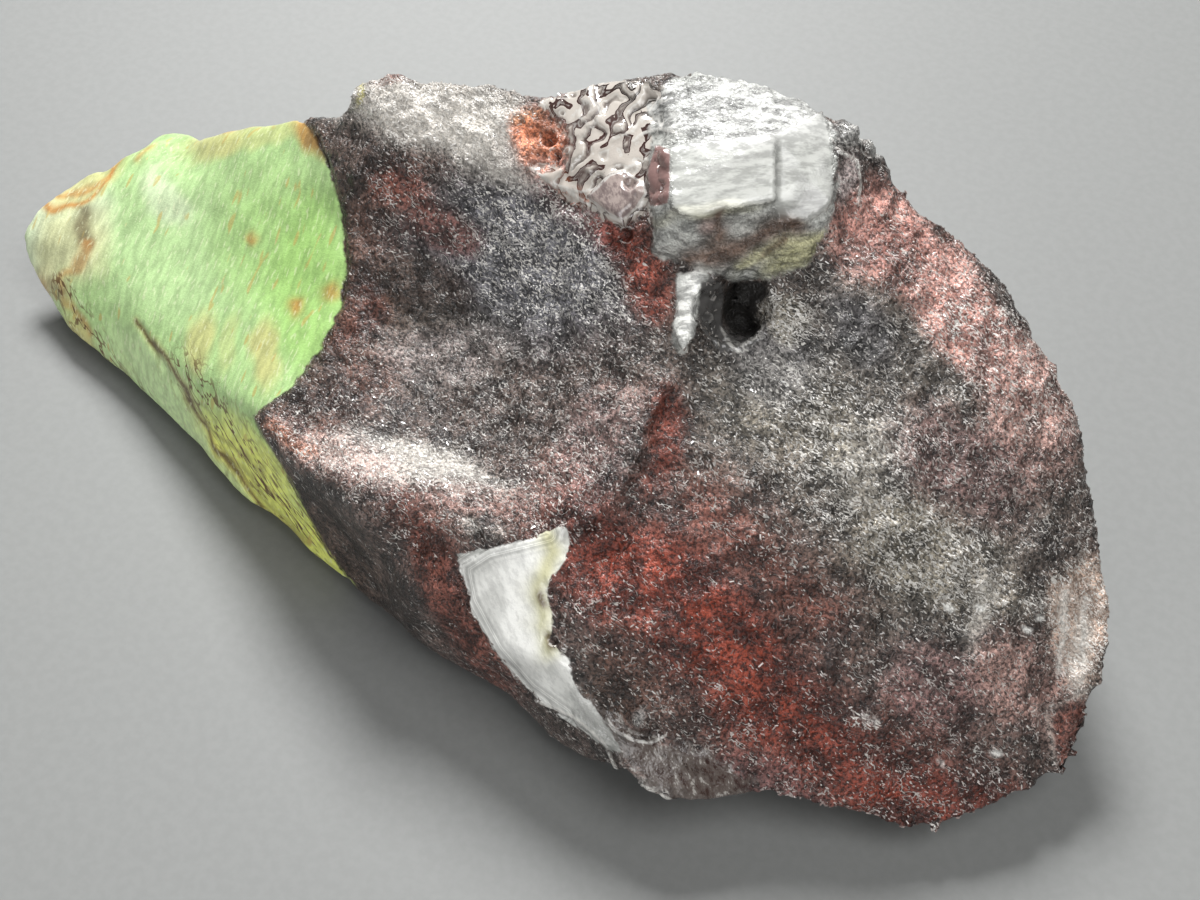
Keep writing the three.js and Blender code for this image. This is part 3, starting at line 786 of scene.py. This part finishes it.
def carve_stone(piece):
    """Cuts the crust's step by the green end, the cracks, pits, lobes and the crest's curl."""
    mesh = piece.data
    zones = read_zones(piece)
    normals = read_normals(mesh)
    places, near = zones["places"], zones["near"]
    crust = -zones["green"]
    height = CRUST_STEP * smoothstep(-0.1, 0.9, crust) * (1 - smoothstep(4.0, 12.0, crust))
    crack = line_distance(places, GREEN_CRACK)
    height -= near * CRACK_DEPTH * fade(crack, CRACK_WIDTH)
    height -= near * PIT_DEPTH * smoothstep(-0.3, 1.4, zones["pit"])
    height -= near * NOTCH_DEPTH * smoothstep(-0.1, 0.4, zones["notch"])
    height += near * FLAKE_HEIGHT * smoothstep(-0.2, 0.2, zones["flake"])
    height -= near * FLAKE_HOLLOW_DEPTH * smoothstep(-0.2, 0.9, zones["flake_hollow"])
    height += near * CREST_CURL * fade(line_distance(places, CREST), CURL_WIDTH)
    melt = smoothstep(-0.4, 1.0, zones["melt"])
    flat_lobe = np.maximum(zones["lobe"], zones["pink_strip"])
    melt *= 1 - smoothstep(-0.5, 0.0, flat_lobe)
    steps, levels = melted_steps(zones["points"], melt > 0.0)
    height += melt * steps + FLAT_LOBE_HEIGHT * smoothstep(-0.25, 0.45, flat_lobe)
    thread = np.full(len(places), FAR_AWAY)
    for line in GLASS_THREADS + [FLAKE_RIM, LIP_RIM]:
        thread = np.minimum(thread, line_distance(places, line))
    thread = np.where(near > LEAST_SEEN, thread, FAR_AWAY)
    height += THREAD_HEIGHT * fade(thread, THREAD_WIDTH)
    rings = np.full(len(places), FAR_AWAY)
    for middle, radius, depth in ROUND_SPOTS:
        away = np.linalg.norm(places - np.array(middle, float), axis=1) * PIXEL_MM / radius
        height -= near * depth * (1 - smoothstep(0.5, 1.0, away))
        height += near * RING_HEIGHT * fade(away - 1.12, 0.2)
        rings = np.minimum(rings, np.abs(away - 1.05) * radius)
    write_share(mesh, "lobe_level", levels)
    write_share(mesh, "thread", thread)
    write_share(mesh, "rings", np.where(near > LEAST_SEEN, rings, FAR_AWAY))
    write_points(mesh, zones["points"] + normals * (height * MM)[:, None])


def thin_far_side(piece, look):
    """Leaves fewer faces where the camera doesn't look, down to the count asked for."""
    mesh = piece.data
    zones = read_zones(piece)
    smooth = 0.8 * smoothstep(0.5, 2.0, zones["green"])
    write_group(piece, "far", np.maximum(1.0 - zones["near"], smooth))
    mesh.calc_loop_triangles()
    share = min(look.most_triangles / len(mesh.loop_triangles), 1.0)
    apply_modifier(piece, "DECIMATE", ratio=share, vertex_group="far", vertex_group_factor=10.0)


def drop_crumbs(piece):
    """Removes any loose crumb that isn't joined to the stone."""
    select_only(piece)
    bpy.ops.object.mode_set(mode="EDIT")
    bpy.ops.mesh.select_mode(type="VERT")
    bpy.ops.mesh.select_all(action="DESELECT")
    bpy.ops.object.mode_set(mode="OBJECT")
    topmost = int(read_points(piece.data)[:, 2].argmax())
    piece.data.vertices[topmost].select = True
    bpy.ops.object.mode_set(mode="EDIT")
    bpy.ops.mesh.select_linked()
    bpy.ops.mesh.select_all(action="INVERT")
    bpy.ops.mesh.delete(type="VERT")
    bpy.ops.object.mode_set(mode="OBJECT")


def keep_in_box(piece):
    low, high = (np.array(corner) for corner in CAD_BOX)
    write_points(piece.data, np.clip(read_points(piece.data), low, high))


def lay_patches(colour, places, patches):
    for name, middle, half, turn, strength in patches:
        share = (strength * patch_share(places, middle, half, turn))[:, None]
        colour = colour * (1 - share) + np.array(COLOURS[name]) * share
    return colour


def lay_bands(colour, places, bands):
    for name, line, width, strength in bands:
        share = strength * fade(line_distance(places, line), width)[:, None]
        colour = colour * (1 - share) + np.array(COLOURS[name]) * share
    return colour


def paint_stone(piece):
    """Stores each point's colour and the shares that the finish reads."""
    mesh = piece.data
    zones = read_zones(piece)
    points, near = zones["points"], zones["near"][:, None]
    places = zones["places"].copy()
    _, _, aside, up = camera_axes()
    for size, reach in WANDERS:
        ways = noise_ways(points, size)
        places += np.stack([ways @ aside, -(ways @ up)], 1) * reach / PIXEL_MM
    body = np.tile(COLOURS["body"], (len(points), 1))
    hidden = lay_far_colours(body, points)
    # The painted glints, laid on as small white spots
    clumps = [("snow and glare", middle, *WHITE_GLINT) for middle in WHITE_GLINTS]
    body = lay_patches(body, places, BODY_PATCHES + clumps)
    body = lay_bands(body, places, BODY_BANDS)
    body = hidden * (1 - near) + body * near
    green = np.tile(COLOURS["green"], (len(points), 1))
    green = lay_patches(green, places, GREEN_PATCHES)
    green = lay_bands(green, places, GREEN_LINES)
    fringe = (np.exp(-np.clip(-zones["green"], 0, None) / FRINGE_WIDTH) * 0.9)[:, None]
    body = body * (1 - fringe) + np.array(COLOURS["fringe"]) * fringe

    write_colours(mesh, "body_colour", body)
    write_colours(mesh, "green_colour", green)
    clear = np.tile(COLOURS["milk"], (len(points), 1))
    clear = lay_patches(clear, places, CLEAR_PATCHES)
    write_colours(mesh, "clear_colour", lay_bands(clear, places, CLEAR_BANDS))
    for name in BORDERS:
        write_share(mesh, name, zones[name])
    across, down = VEINS_ASIDE
    crack = line_distance(zones["places"], [(u + across, v + down) for u, v in GREEN_CRACK[1:]])
    tip = line_distance(zones["places"], TIP_VEINS)
    veins = np.maximum(fade(crack, CRACK_VEINS_WIDTH), fade(tip, TIP_VEINS_WIDTH))
    write_share(mesh, "veins", veins * near[:, 0])
    rim = line_distance(zones["places"], FACET_RIM)
    write_share(mesh, "facet_rim", np.where(near[:, 0] > LEAST_SEEN, rim, FAR_AWAY))
    level = np.full(len(points), PLAIN_SPARKLE)
    for wanted, middle, half, turn, strength in SPARKLE_PATCHES:
        share = strength * patch_share(places, middle, half, turn)
        level = level * (1 - share) + wanted * share
    write_share(mesh, "sparkle", level)


def lay_far_colours(body, points):
    """Red, grey and pale stretches on the sides that the camera doesn't see."""
    tone = noise_ways(points, FAR_STRETCH)
    red = smoothstep(0.0, 0.45, tone[:, 0])[:, None]
    pale = smoothstep(0.1, 0.5, tone[:, 1])[:, None]
    far = body * (1 - red) + np.array(COLOURS["red brown"]) * red
    return far * (1 - 0.6 * pale) + np.array(COLOURS["rose"]) * 0.6 * pale


class NodeSheet:
    """Puts a material's nodes down and joins them."""

    def __init__(self, material):
        material.use_nodes = True
        self.tree = material.node_tree
        self.tree.nodes.clear()

    def add(self, kind, inputs=None, **settings):
        node = self.tree.nodes.new(kind)
        for name, value in settings.items():
            setattr(node, name, value)
        for key, value in (inputs or {}).items():
            if isinstance(value, bpy.types.NodeSocket):
                self.tree.links.new(value, node.inputs[key])
            else:
                node.inputs[key].default_value = value
        return node

    def place(self):
        """The place on the piece, in mm."""
        place = self.add("ShaderNodeTexCoord").outputs["Object"]
        scale = (1.0 / MM, 1.0 / MM, 1.0 / MM)
        return self.add("ShaderNodeMapping", {"Vector": place, "Scale": scale}).outputs[0]

    def math(self, operation, *values, clamp=False):
        inputs = dict(enumerate(values))
        node = self.add("ShaderNodeMath", inputs, operation=operation, use_clamp=clamp)
        return node.outputs[0]

    def vector_math(self, operation, inputs):
        return self.add("ShaderNodeVectorMath", inputs, operation=operation).outputs[0]

    def times(self, first, second):
        return self.math("MULTIPLY", first, second)

    def apart(self, first, second):
        """How far apart the two values are."""
        return self.math("ABSOLUTE", self.math("SUBTRACT", first, second))

    def most(self, first, *others):
        """The largest of the values."""
        for value in others:
            first = self.math("MAXIMUM", first, value)
        return first

    def step(self, value, low, high, start=0.0, end=1.0):
        """Eases from start to end as the value goes from low to high."""
        node = self.add("ShaderNodeMapRange", {
            "Value": value, "From Min": low, "From Max": high, "To Min": start, "To Max": end,
        }, interpolation_type="SMOOTHSTEP")
        return node.outputs["Result"]

    def blend(self, share, first, second):
        node = self.add("ShaderNodeMix", {0: share, 2: first, 3: second}, data_type="FLOAT")
        return node.outputs[0]

    def mix(self, share, first, second, blend="MIX"):
        """Two colours mixed, each one a socket, a name in COLOURS or four numbers."""
        colours = [
            (*COLOURS[value], 1.0) if isinstance(value, str) else value
            for value in (first, second)
        ]
        inputs = {0: share, 6: colours[0], 7: colours[1]}
        return self.add("ShaderNodeMix", inputs, data_type="RGBA", blend_type=blend).outputs[2]

    def grey(self, value):
        return self.add("ShaderNodeCombineColor", {0: value, 1: value, 2: value}).outputs[0]

    def shade(self, colour, tone):
        return self.mix(1.0, colour, self.grey(tone), "MULTIPLY")

    def noise(self, place, name):
        size, octaves, roughness = PATTERNS[name]
        node = self.add("ShaderNodeTexNoise", {
            "Vector": place, "Scale": 1.0 / size, "Detail": octaves, "Roughness": roughness,
        })
        return node.outputs["Fac"]

    def stretch(self, place, name):
        """The place with lengths along one way of the picture made shorter, for long streaks."""
        angle, times = STREAKS[name]
        turn = picture_way(angle).rotation_difference(Vector((1.0, 0.0, 0.0))).to_euler()
        turned = self.add("ShaderNodeMapping", {"Vector": place, "Rotation": turn}).outputs[0]
        scale = (1.0 / times, 1.0, 1.0)
        return self.add("ShaderNodeMapping", {"Vector": turned, "Scale": scale}).outputs[0]

    def share(self, name):
        return self.add("ShaderNodeAttribute", attribute_name=name).outputs["Fac"]

    def colour(self, name):
        return self.add("ShaderNodeAttribute", attribute_name=name).outputs["Color"]

    def finish(self, inputs):
        """The surface, and its way to the material's output."""
        shader = self.add("ShaderNodeBsdfPrincipled", inputs)
        self.add("ShaderNodeOutputMaterial", {"Surface": shader.outputs[0]})


def make_stone_material(look):
    material = bpy.data.materials.new("etched_calcite")
    sheet = NodeSheet(material)
    place = sheet.place()
    stray = sheet.step(sheet.noise(place, "ragged"), 0.0, 1.0, -1.0, 1.0)

    def region(name):
        softness, reach = BORDERS[name]
        inside = sheet.math("MULTIPLY_ADD", stray, reach, sheet.share(name))
        return sheet.step(inside, -softness, softness)

    green, block, plateau, facet = map(region, ("green", "block", "plateau", "facet"))
    melt, lip, tongue, lobe = map(region, ("melt", "lip", "tongue", "lobe"))
    pink_strip, smoky_glass, pit = map(region, ("pink_strip", "smoky_glass", "pit"))

    # Pale rims of the lobes, the threads and the round spots: painted highlights along their edges
    level = sheet.math("FRACT", sheet.share("lobe_level"))
    folds = sheet.most(sheet.step(sheet.apart(level, 0.60), 0.08, 0.02, 0.0, 0.9),
                       sheet.step(sheet.apart(level, 0.18), 0.06, 0.02, 0.0, 0.5))
    outline = sheet.math("ABSOLUTE", sheet.share("lobe"))
    rim_highlights = sheet.most(
        sheet.times(folds, melt), sheet.step(outline, 0.18, 0.08),
        sheet.step(sheet.share("thread"), 0.24, 0.10),
        sheet.step(sheet.share("rings"), 0.13, 0.05, 0.0, 0.6),
    )

    # Pale flecks of the etched body: painted glints, with some pale frost
    fine = sheet.noise(place, "fine")
    slanted = sheet.stretch(place, "glint_flecks")
    strands = sheet.step(sheet.apart(sheet.noise(slanted, "strands"), 0.5), 0.034, 0.022)
    sparkle = sheet.share("sparkle")
    lack = sheet.step(sparkle, 0.0, 1.0, 0.16, -0.04)
    clusters = sheet.math("SUBTRACT", sheet.noise(slanted, "clusters"), lack)
    clusters = sheet.step(clusters, 0.47, 0.53)
    specks = sheet.math("SUBTRACT", sheet.noise(slanted, "specks"), lack)
    specks = sheet.step(specks, 0.66, 0.70)
    dashes = sheet.noise(sheet.stretch(place, "dashes"), "dashes")
    dashes = sheet.math("SUBTRACT", dashes, sheet.step(sparkle, 0.3, 1.0, 0.12, 0.0))
    dashes = sheet.step(dashes, 0.62, 0.65)
    glint_flecks = sheet.most(sheet.times(strands, clusters), specks, dashes)

    plain_body = sheet.colour("body_colour")
    tone = sheet.times(sheet.step(sheet.noise(place, "mottle"), 0.34, 0.66, 0.40, 1.60),
                       sheet.step(fine, 0.35, 0.65, 0.25, 1.75))
    brightness = sheet.add("ShaderNodeRGBToBW", {0: plain_body}).outputs[0]
    tone = sheet.blend(sheet.step(brightness, 0.15, 0.45, 0.0, 0.6), tone, 1.0)
    # The painted glints are paler where the sparkle share is high
    glint_fleck_share = sheet.step(sparkle, 0.2, 0.9, 0.75 * look.glint_flecks, 1.12 * look.glint_flecks)
    body = sheet.mix(sheet.times(glint_flecks, glint_fleck_share), sheet.shade(plain_body, tone), "glint fleck")

    # The green end, with pale specks, rusty streaks and torn dark veins
    steep = sheet.stretch(place, "waves")
    waves = sheet.step(sheet.noise(steep, "waves"), 0.3, 0.7, 0.82, 1.18)
    waxy = sheet.shade(sheet.colour("green_colour"), waves)
    green_specks = sheet.step(sheet.noise(steep, "green specks"), 0.64, 0.74, 0.0, 0.35)
    waxy = sheet.mix(green_specks, waxy, "green speck")
    stains = sheet.step(sheet.noise(steep, "stains"), 0.66, 0.72, 0.0, 0.6)
    waxy = sheet.mix(stains, waxy, "stain")
    veins = sheet.apart(sheet.noise(sheet.stretch(place, "veins"), "veins"), 0.5)
    veins = sheet.times(sheet.step(veins, 0.034, 0.014), sheet.share("veins"))
    waxy = sheet.mix(veins, waxy, "vein")

    # The clear block and facet, with their veils and layers
    folded = sheet.noise(sheet.stretch(place, "folds"), "folds")
    veils = sheet.times(sheet.step(folded, 0.40, 0.60, 0.56, 1.34),
                        sheet.step(fine, 0.3, 0.7, 0.82, 1.18))
    painted = sheet.colour("clear_colour")
    clear_wall = sheet.shade(painted, veils)
    clear_top = sheet.shade(painted, sheet.step(folded, 0.40, 0.60, 0.78, 1.16))
    facet_rim = sheet.share("facet_rim")
    layers = sheet.step(sheet.noise(sheet.grey(facet_rim), "layers"), 0.40, 0.60, 0.74, 1.04)
    layers = sheet.blend(sheet.step(facet_rim, 0.8, 2.4), layers, 1.0)
    sheen = sheet.noise(sheet.stretch(place, "sheen"), "sheen")
    clear_facet = sheet.times(sheet.step(sheen, 0.36, 0.60, 0.84, 1.05), layers)
    clear_facet = sheet.shade(painted, clear_facet)

    # The melted glass beside the block and on the lip, with painted shading on the melt's lobes
    dark_glass = sheet.mix(1.0, plain_body, "glass shade", "MULTIPLY")
    # Painted shading of the lobes: dark at the foot of each step, pale towards its top
    pale = sheet.times(sheet.step(level, 0.14, 0.62, 0.0, 0.9),
                       sheet.step(sparkle, 0.12, 0.4, 0.15, 1.0))
    glass = sheet.mix(pale, dark_glass, "pale glass highlight")
    lip_glass = sheet.mix(sheet.step(sheen, 0.36, 0.58, 0.0, 0.8), dark_glass, "lip shade")
    lip_glass = sheet.mix(sheet.step(sheen, 0.57, 0.64, 0.0, 0.7), lip_glass, "lip light")
    lobe_glass = sheet.mix(sheet.step(sheen, 0.40, 0.60), "lobe shade", "lobe light")

    # Each region's colour over the body; the pit is painted black, as painted shade in its hollow
    colour = body
    for cover, coat in (
        (green, waxy), (melt, glass), (lip, lip_glass), (block, clear_wall),
        (tongue, clear_wall), (pink_strip, "pink glass"), (smoky_glass, "smoky glass"),
        (lobe, lobe_glass), (plateau, clear_top), (facet, clear_facet), (pit, "black"),
    ):
        colour = sheet.mix(cover, colour, coat)
    # The painted rim highlights, broken along their length
    broken = sheet.times(sheet.step(sheen, 0.40, 0.55, 0.3, 1.0), 0.75)
    rim_highlights = sheet.math("MULTIPLY", rim_highlights, broken, clamp=True)
    colour = sheet.mix(rim_highlights, colour, "glass rim highlight")

    # How smooth, clear and glossy each region is
    glassy = sheet.most(lobe, pink_strip, melt, lip, smoky_glass)
    smooth = sheet.most(plateau, facet, glassy, sheet.times(tongue, 0.8))
    etched = sheet.math("SUBTRACT", 1.0, sheet.most(smooth, green), clamp=True)
    rough = sheet.blend(smooth, sheet.blend(green, look.roughness, look.green_roughness), 0.15)
    clear = sheet.most(sheet.times(facet, 0.06), sheet.times(glassy, 0.35))
    gloss = sheet.blend(green, sheet.step(sparkle, 0.0, 0.7, 0.22, 0.55), 0.2)
    rugged = sheet.most(etched, sheet.times(green, 0.12), sheet.times(lip, 0.25))
    bump = sheet.add("ShaderNodeBump", {
        "Height": sheet.math("ADD", fine, strands), "Strength": sheet.blend(rugged, 0.10, 1.0),
        "Distance": BUMP_HEIGHT * MM,
    }).outputs[0]
    tilts = {"Vector": place, "Scale": 1.0 / GLINT_SIZE}
    tilts = sheet.add("ShaderNodeTexVoronoi", tilts).outputs["Color"]
    tilts = sheet.vector_math("SUBTRACT", {0: tilts, 1: (0.5, 0.5, 0.5)})
    tilts = sheet.vector_math("SCALE", {0: tilts, "Scale": sheet.times(etched, look.glints)})
    glints = sheet.vector_math("NORMALIZE", {0: sheet.vector_math("ADD", {0: bump, 1: tilts})})
    sheet.finish({
        "Base Color": colour, "Roughness": rough, "Normal": bump, "Transmission Weight": clear,
        "IOR": look.ior, "Specular IOR Level": 0.3, "Coat Weight": gloss,
        "Coat Roughness": 0.06, "Coat Normal": glints,
    })
    return material


def grain_shape():
    """One rhombohedral grain of calcite, 1 long, as its corners and faces."""
    bpy.ops.object.select_all(action="DESELECT")
    bpy.ops.mesh.primitive_cube_add(size=1.0)
    grain = bpy.context.active_object
    bpy.ops.object.mode_set(mode="EDIT")
    bpy.ops.mesh.select_all(action="DESELECT")
    bpy.ops.object.mode_set(mode="OBJECT")
    for vertex in grain.data.vertices:
        vertex.select = vertex.co.z > 0.0
    bpy.ops.object.mode_set(mode="EDIT")
    bpy.ops.transform.translate(value=GRAIN_LEAN)
    bpy.ops.mesh.select_all(action="SELECT")
    bpy.ops.transform.resize(value=GRAIN_SHAPE, center_override=(0.0, 0.0, 0.0))
    bpy.ops.object.mode_set(mode="OBJECT")
    corners = read_points(grain.data)
    faces = np.array([face.vertices[:] for face in grain.data.polygons])
    bpy.data.objects.remove(grain)
    return corners, faces


def scatter_grains(stone, look):
    """Many small grains, thickest where the skin sparkles, joined in one mesh."""
    mesh = stone.data
    dice = np.random.default_rng(look.seed)
    zones = read_zones(stone)
    points, normals = zones["points"], read_normals(mesh)
    sparkle = np.empty(len(points), np.float32)
    mesh.attributes["sparkle"].data.foreach_get("value", sparkle)
    tints = np.empty(len(points) * 4, np.float32)
    mesh.attributes["body_colour"].data.foreach_get("color", tints)
    smooth = np.maximum.reduce([zones[name] for name in (
        "block", "facet", "melt", "lip", "tongue", "side_wall", "pit",
    )])
    smooth = np.maximum(smooth, zones["green"] + BARE_STRIP)
    room = smoothstep(0.4, -0.4, smooth) * (0.25 + 0.75 * zones["near"])
    clumps = smoothstep(-0.1, 0.4, noise_ways(points, GRAIN_CLUMPS)[:, 0])
    low, high = (np.array(corner) for corner in CAD_BOX)
    inner = ((points > low + look.grain_size) & (points < high - look.grain_size)).all(1)
    chance = room * inner * np.clip(sparkle, 0, None) ** 2.2 * (0.1 + clumps)
    picked = dice.choice(len(points), look.grain_count, replace=False, p=chance / chance.sum())
    corners, faces = grain_shape()
    size = look.grain_size * dice.uniform(SMALLEST_GRAIN, 1.0, look.grain_count)
    out = normals[picked]
    aside = np.cross(np.array(picture_way(GRAIN_WAY)) + 0.7 * dice.normal(size=out.shape), out)
    tilted = unit_rows(unit_rows(aside) + 0.15 * dice.normal(size=(len(out), 1)) * out)
    third = unit_rows(np.cross(out, tilted))
    up = np.cross(tilted, third)
    axes = np.stack([tilted, third, up], 1)
    spots = np.einsum("ci,gij->gcj", corners, axes) * size[:, None, None]
    spots += (points[picked] + 0.02 * size[:, None] * out)[:, None, :]
    rings = faces[None] + (np.arange(look.grain_count) * len(corners))[:, None, None]
    grains = bpy.data.meshes.new("calcite_grains")
    grains.from_pydata(spots.reshape(-1, 3).tolist(), [], rings.reshape(-1, 4).tolist())
    layer = grains.attributes.new("body_colour", "FLOAT_COLOR", "POINT")
    tints = np.repeat(tints.reshape(-1, 4)[picked], len(corners), axis=0)
    layer.data.foreach_set("color", tints.ravel())
    return grains


def make_grain_material(look):
    material = bpy.data.materials.new("calcite_grain")
    sheet = NodeSheet(material)
    pale = sheet.step(sheet.noise(sheet.place(), "grain tint"), 0.35, 0.65, 0.1, 0.5)
    colour = sheet.mix(pale, sheet.colour("body_colour"), "grain")
    sheet.finish({"Base Color": colour, "Roughness": 0.12, "IOR": look.ior})
    return material


def make_floor_material(look):
    material = bpy.data.materials.new("pale_floor")
    sheet = NodeSheet(material)
    pale = (*look.floor_colour, 1.0)
    dim = (*(0.94 * value for value in look.floor_colour), 1.0)
    colour = sheet.mix(sheet.step(sheet.noise(sheet.place(), "floor"), 0.3, 0.7), dim, pale)
    sheet.finish({"Base Color": colour, "Roughness": 0.6})
    return material


class CalciteLook(bpy.types.PropertyGroup):
    finest_edge: FloatProperty(
        name="Finest edge", description="Edge length of the stone's skin on the side seen",
        default=0.0004, min=0.0002, max=0.002, precision=5, subtype="DISTANCE", unit="LENGTH",
    )
    most_triangles: IntProperty(
        name="Most triangles", description="Triangles kept in all, fewest on the sides not seen",
        default=196000, min=20000, max=199000,
    )
    roughness: FloatProperty(
        name="Roughness", description="Roughness of the etched skin",
        default=0.34, min=0.0, max=1.0, subtype="FACTOR",
    )
    green_roughness: FloatProperty(
        name="Green roughness", description="Roughness of the waxy green end",
        default=0.40, min=0.0, max=1.0, subtype="FACTOR",
    )
    ior: FloatProperty(
        name="Refraction", description="How strongly the crystal bends light",
        default=1.6, min=1.0, max=2.5,
    )
    glint_flecks: FloatProperty(
        name="Flecks", description="How pale the fine flecks of the etched skin are",
        default=0.68, min=0.0, max=1.0, subtype="FACTOR",
    )
    glints: FloatProperty(
        name="Glints", description="How far the skin's tiny facets tilt",
        default=1.1, min=0.0, max=3.0, subtype="FACTOR",
    )
    grain_size: FloatProperty(
        name="Grain size", description="Length of the largest grains",
        default=0.0005, min=0.0001, max=0.003, precision=5, subtype="DISTANCE", unit="LENGTH",
    )
    grain_count: IntProperty(
        name="Grains", description="How many small grains stand on the skin",
        default=9000, min=100, max=16000,
    )
    seed: IntProperty(
        name="Seed", description="Which random pattern the skin and the grains take",
        default=7, min=1, max=9999,
    )
    floor_colour: FloatVectorProperty(
        name="Floor colour", description="Colour of the floor",
        default=(0.20, 0.205, 0.20), min=0.0, max=1.0, size=3, subtype="COLOR",
    )


class CALCITE_OT_stone(bpy.types.Operator):
    """Build the stone's etched skin"""

    bl_idname = "calcite.stone"
    bl_label = "Stone"

    def execute(self, context):
        look = context.scene.calcite_look
        noise.seed_set(look.seed)
        stone = copy_of_solid("calcite_stone")
        shape_stone(stone, look)
        carve_stone(stone)
        thin_far_side(stone, look)
        keep_in_box(stone)
        paint_stone(stone)
        stone.data.materials.append(make_stone_material(look))
        select_only(stone)
        bpy.ops.object.shade_smooth()
        stone.vertex_groups.clear()
        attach(stone, "root")
        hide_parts("calcite")
        return {"FINISHED"}


class CALCITE_OT_grains(bpy.types.Operator):
    """Scatter the small bright grains that stand on the etched skin"""

    bl_idname = "calcite.grains"
    bl_label = "Grains"

    def execute(self, context):
        look = context.scene.calcite_look
        noise.seed_set(look.seed)
        stone = bpy.data.objects["calcite_stone"]
        grains = bpy.data.objects.new("calcite_grains", scatter_grains(stone, look))
        context.scene.collection.objects.link(grains)
        grains.data.materials.append(make_grain_material(look))
        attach(grains, "root")
        return {"FINISHED"}


class CALCITE_OT_stage(bpy.types.Operator):
    """Build the floor, the lights and the camera"""

    bl_idname = "calcite.stage"
    bl_label = "Stage"

    def execute(self, context):
        look = context.scene.calcite_look
        bpy.ops.object.select_all(action="DESELECT")
        bpy.ops.mesh.primitive_plane_add(size=FLOOR_WIDTH, location=(0.0, 0.0, 0.0))
        floor = context.active_object
        floor.name = "floor"
        floor.data.materials.append(make_floor_material(look))
        for light in LIGHTS:
            add_area_light(*light)
        world = bpy.data.worlds.new("room")
        context.scene.world = world
        world.use_nodes = True
        background = world.node_tree.nodes["Background"]
        background.inputs["Color"].default_value = ROOM_COLOUR
        background.inputs["Strength"].default_value = ROOM_STRENGTH
        camera_data = bpy.data.cameras.new("camera")
        camera_data.lens = LENS
        camera_data.sensor_width = SENSOR
        camera_data.clip_start = 0.01
        camera = bpy.data.objects.new("camera", camera_data)
        camera.location = EYE
        camera.rotation_euler = (Vector(AIM) - Vector(EYE)).to_track_quat("-Z", "Y").to_euler()
        context.scene.collection.objects.link(camera)
        context.scene.camera = camera
        context.scene.view_settings.view_transform = "Standard"
        return {"FINISHED"}


def add_area_light(name, place, size, power):
    data = bpy.data.lights.new(name, "AREA")
    data.shape = "DISK"
    data.size = size
    data.energy = power
    light = bpy.data.objects.new(name, data)
    light.location = place
    light.rotation_euler = (Vector(AIM) - Vector(place)).to_track_quat("-Z", "Y").to_euler()
    bpy.context.scene.collection.objects.link(light)


class CALCITE_PT_panel(bpy.types.Panel):
    bl_label = "Raw Calcite"
    bl_idname = "CALCITE_PT_panel"
    bl_space_type = "VIEW_3D"
    bl_region_type = "UI"
    bl_category = "Calcite"

    def draw(self, context):
        look = context.scene.calcite_look
        for name in (
            "finest_edge", "most_triangles", "roughness", "green_roughness", "ior", "glint_flecks",
            "glints", "grain_size", "grain_count", "seed", "floor_colour",
        ):
            self.layout.prop(look, name)
        for operator in ("calcite.stone", "calcite.grains", "calcite.stage"):
            self.layout.operator(operator)


CLASSES = (
    CalciteLook, CALCITE_OT_stone, CALCITE_OT_grains, CALCITE_OT_stage, CALCITE_PT_panel,
)


def register():
    for kind in CLASSES:
        bpy.utils.register_class(kind)
    bpy.types.Scene.calcite_look = PointerProperty(type=CalciteLook)


def unregister():
    del bpy.types.Scene.calcite_look
    for kind in reversed(CLASSES):
        bpy.utils.unregister_class(kind)


def main():
    register()
    bpy.ops.calcite.stone()
    bpy.ops.calcite.grains()
    bpy.ops.calcite.stage()


if __name__ == "__main__":
    main()
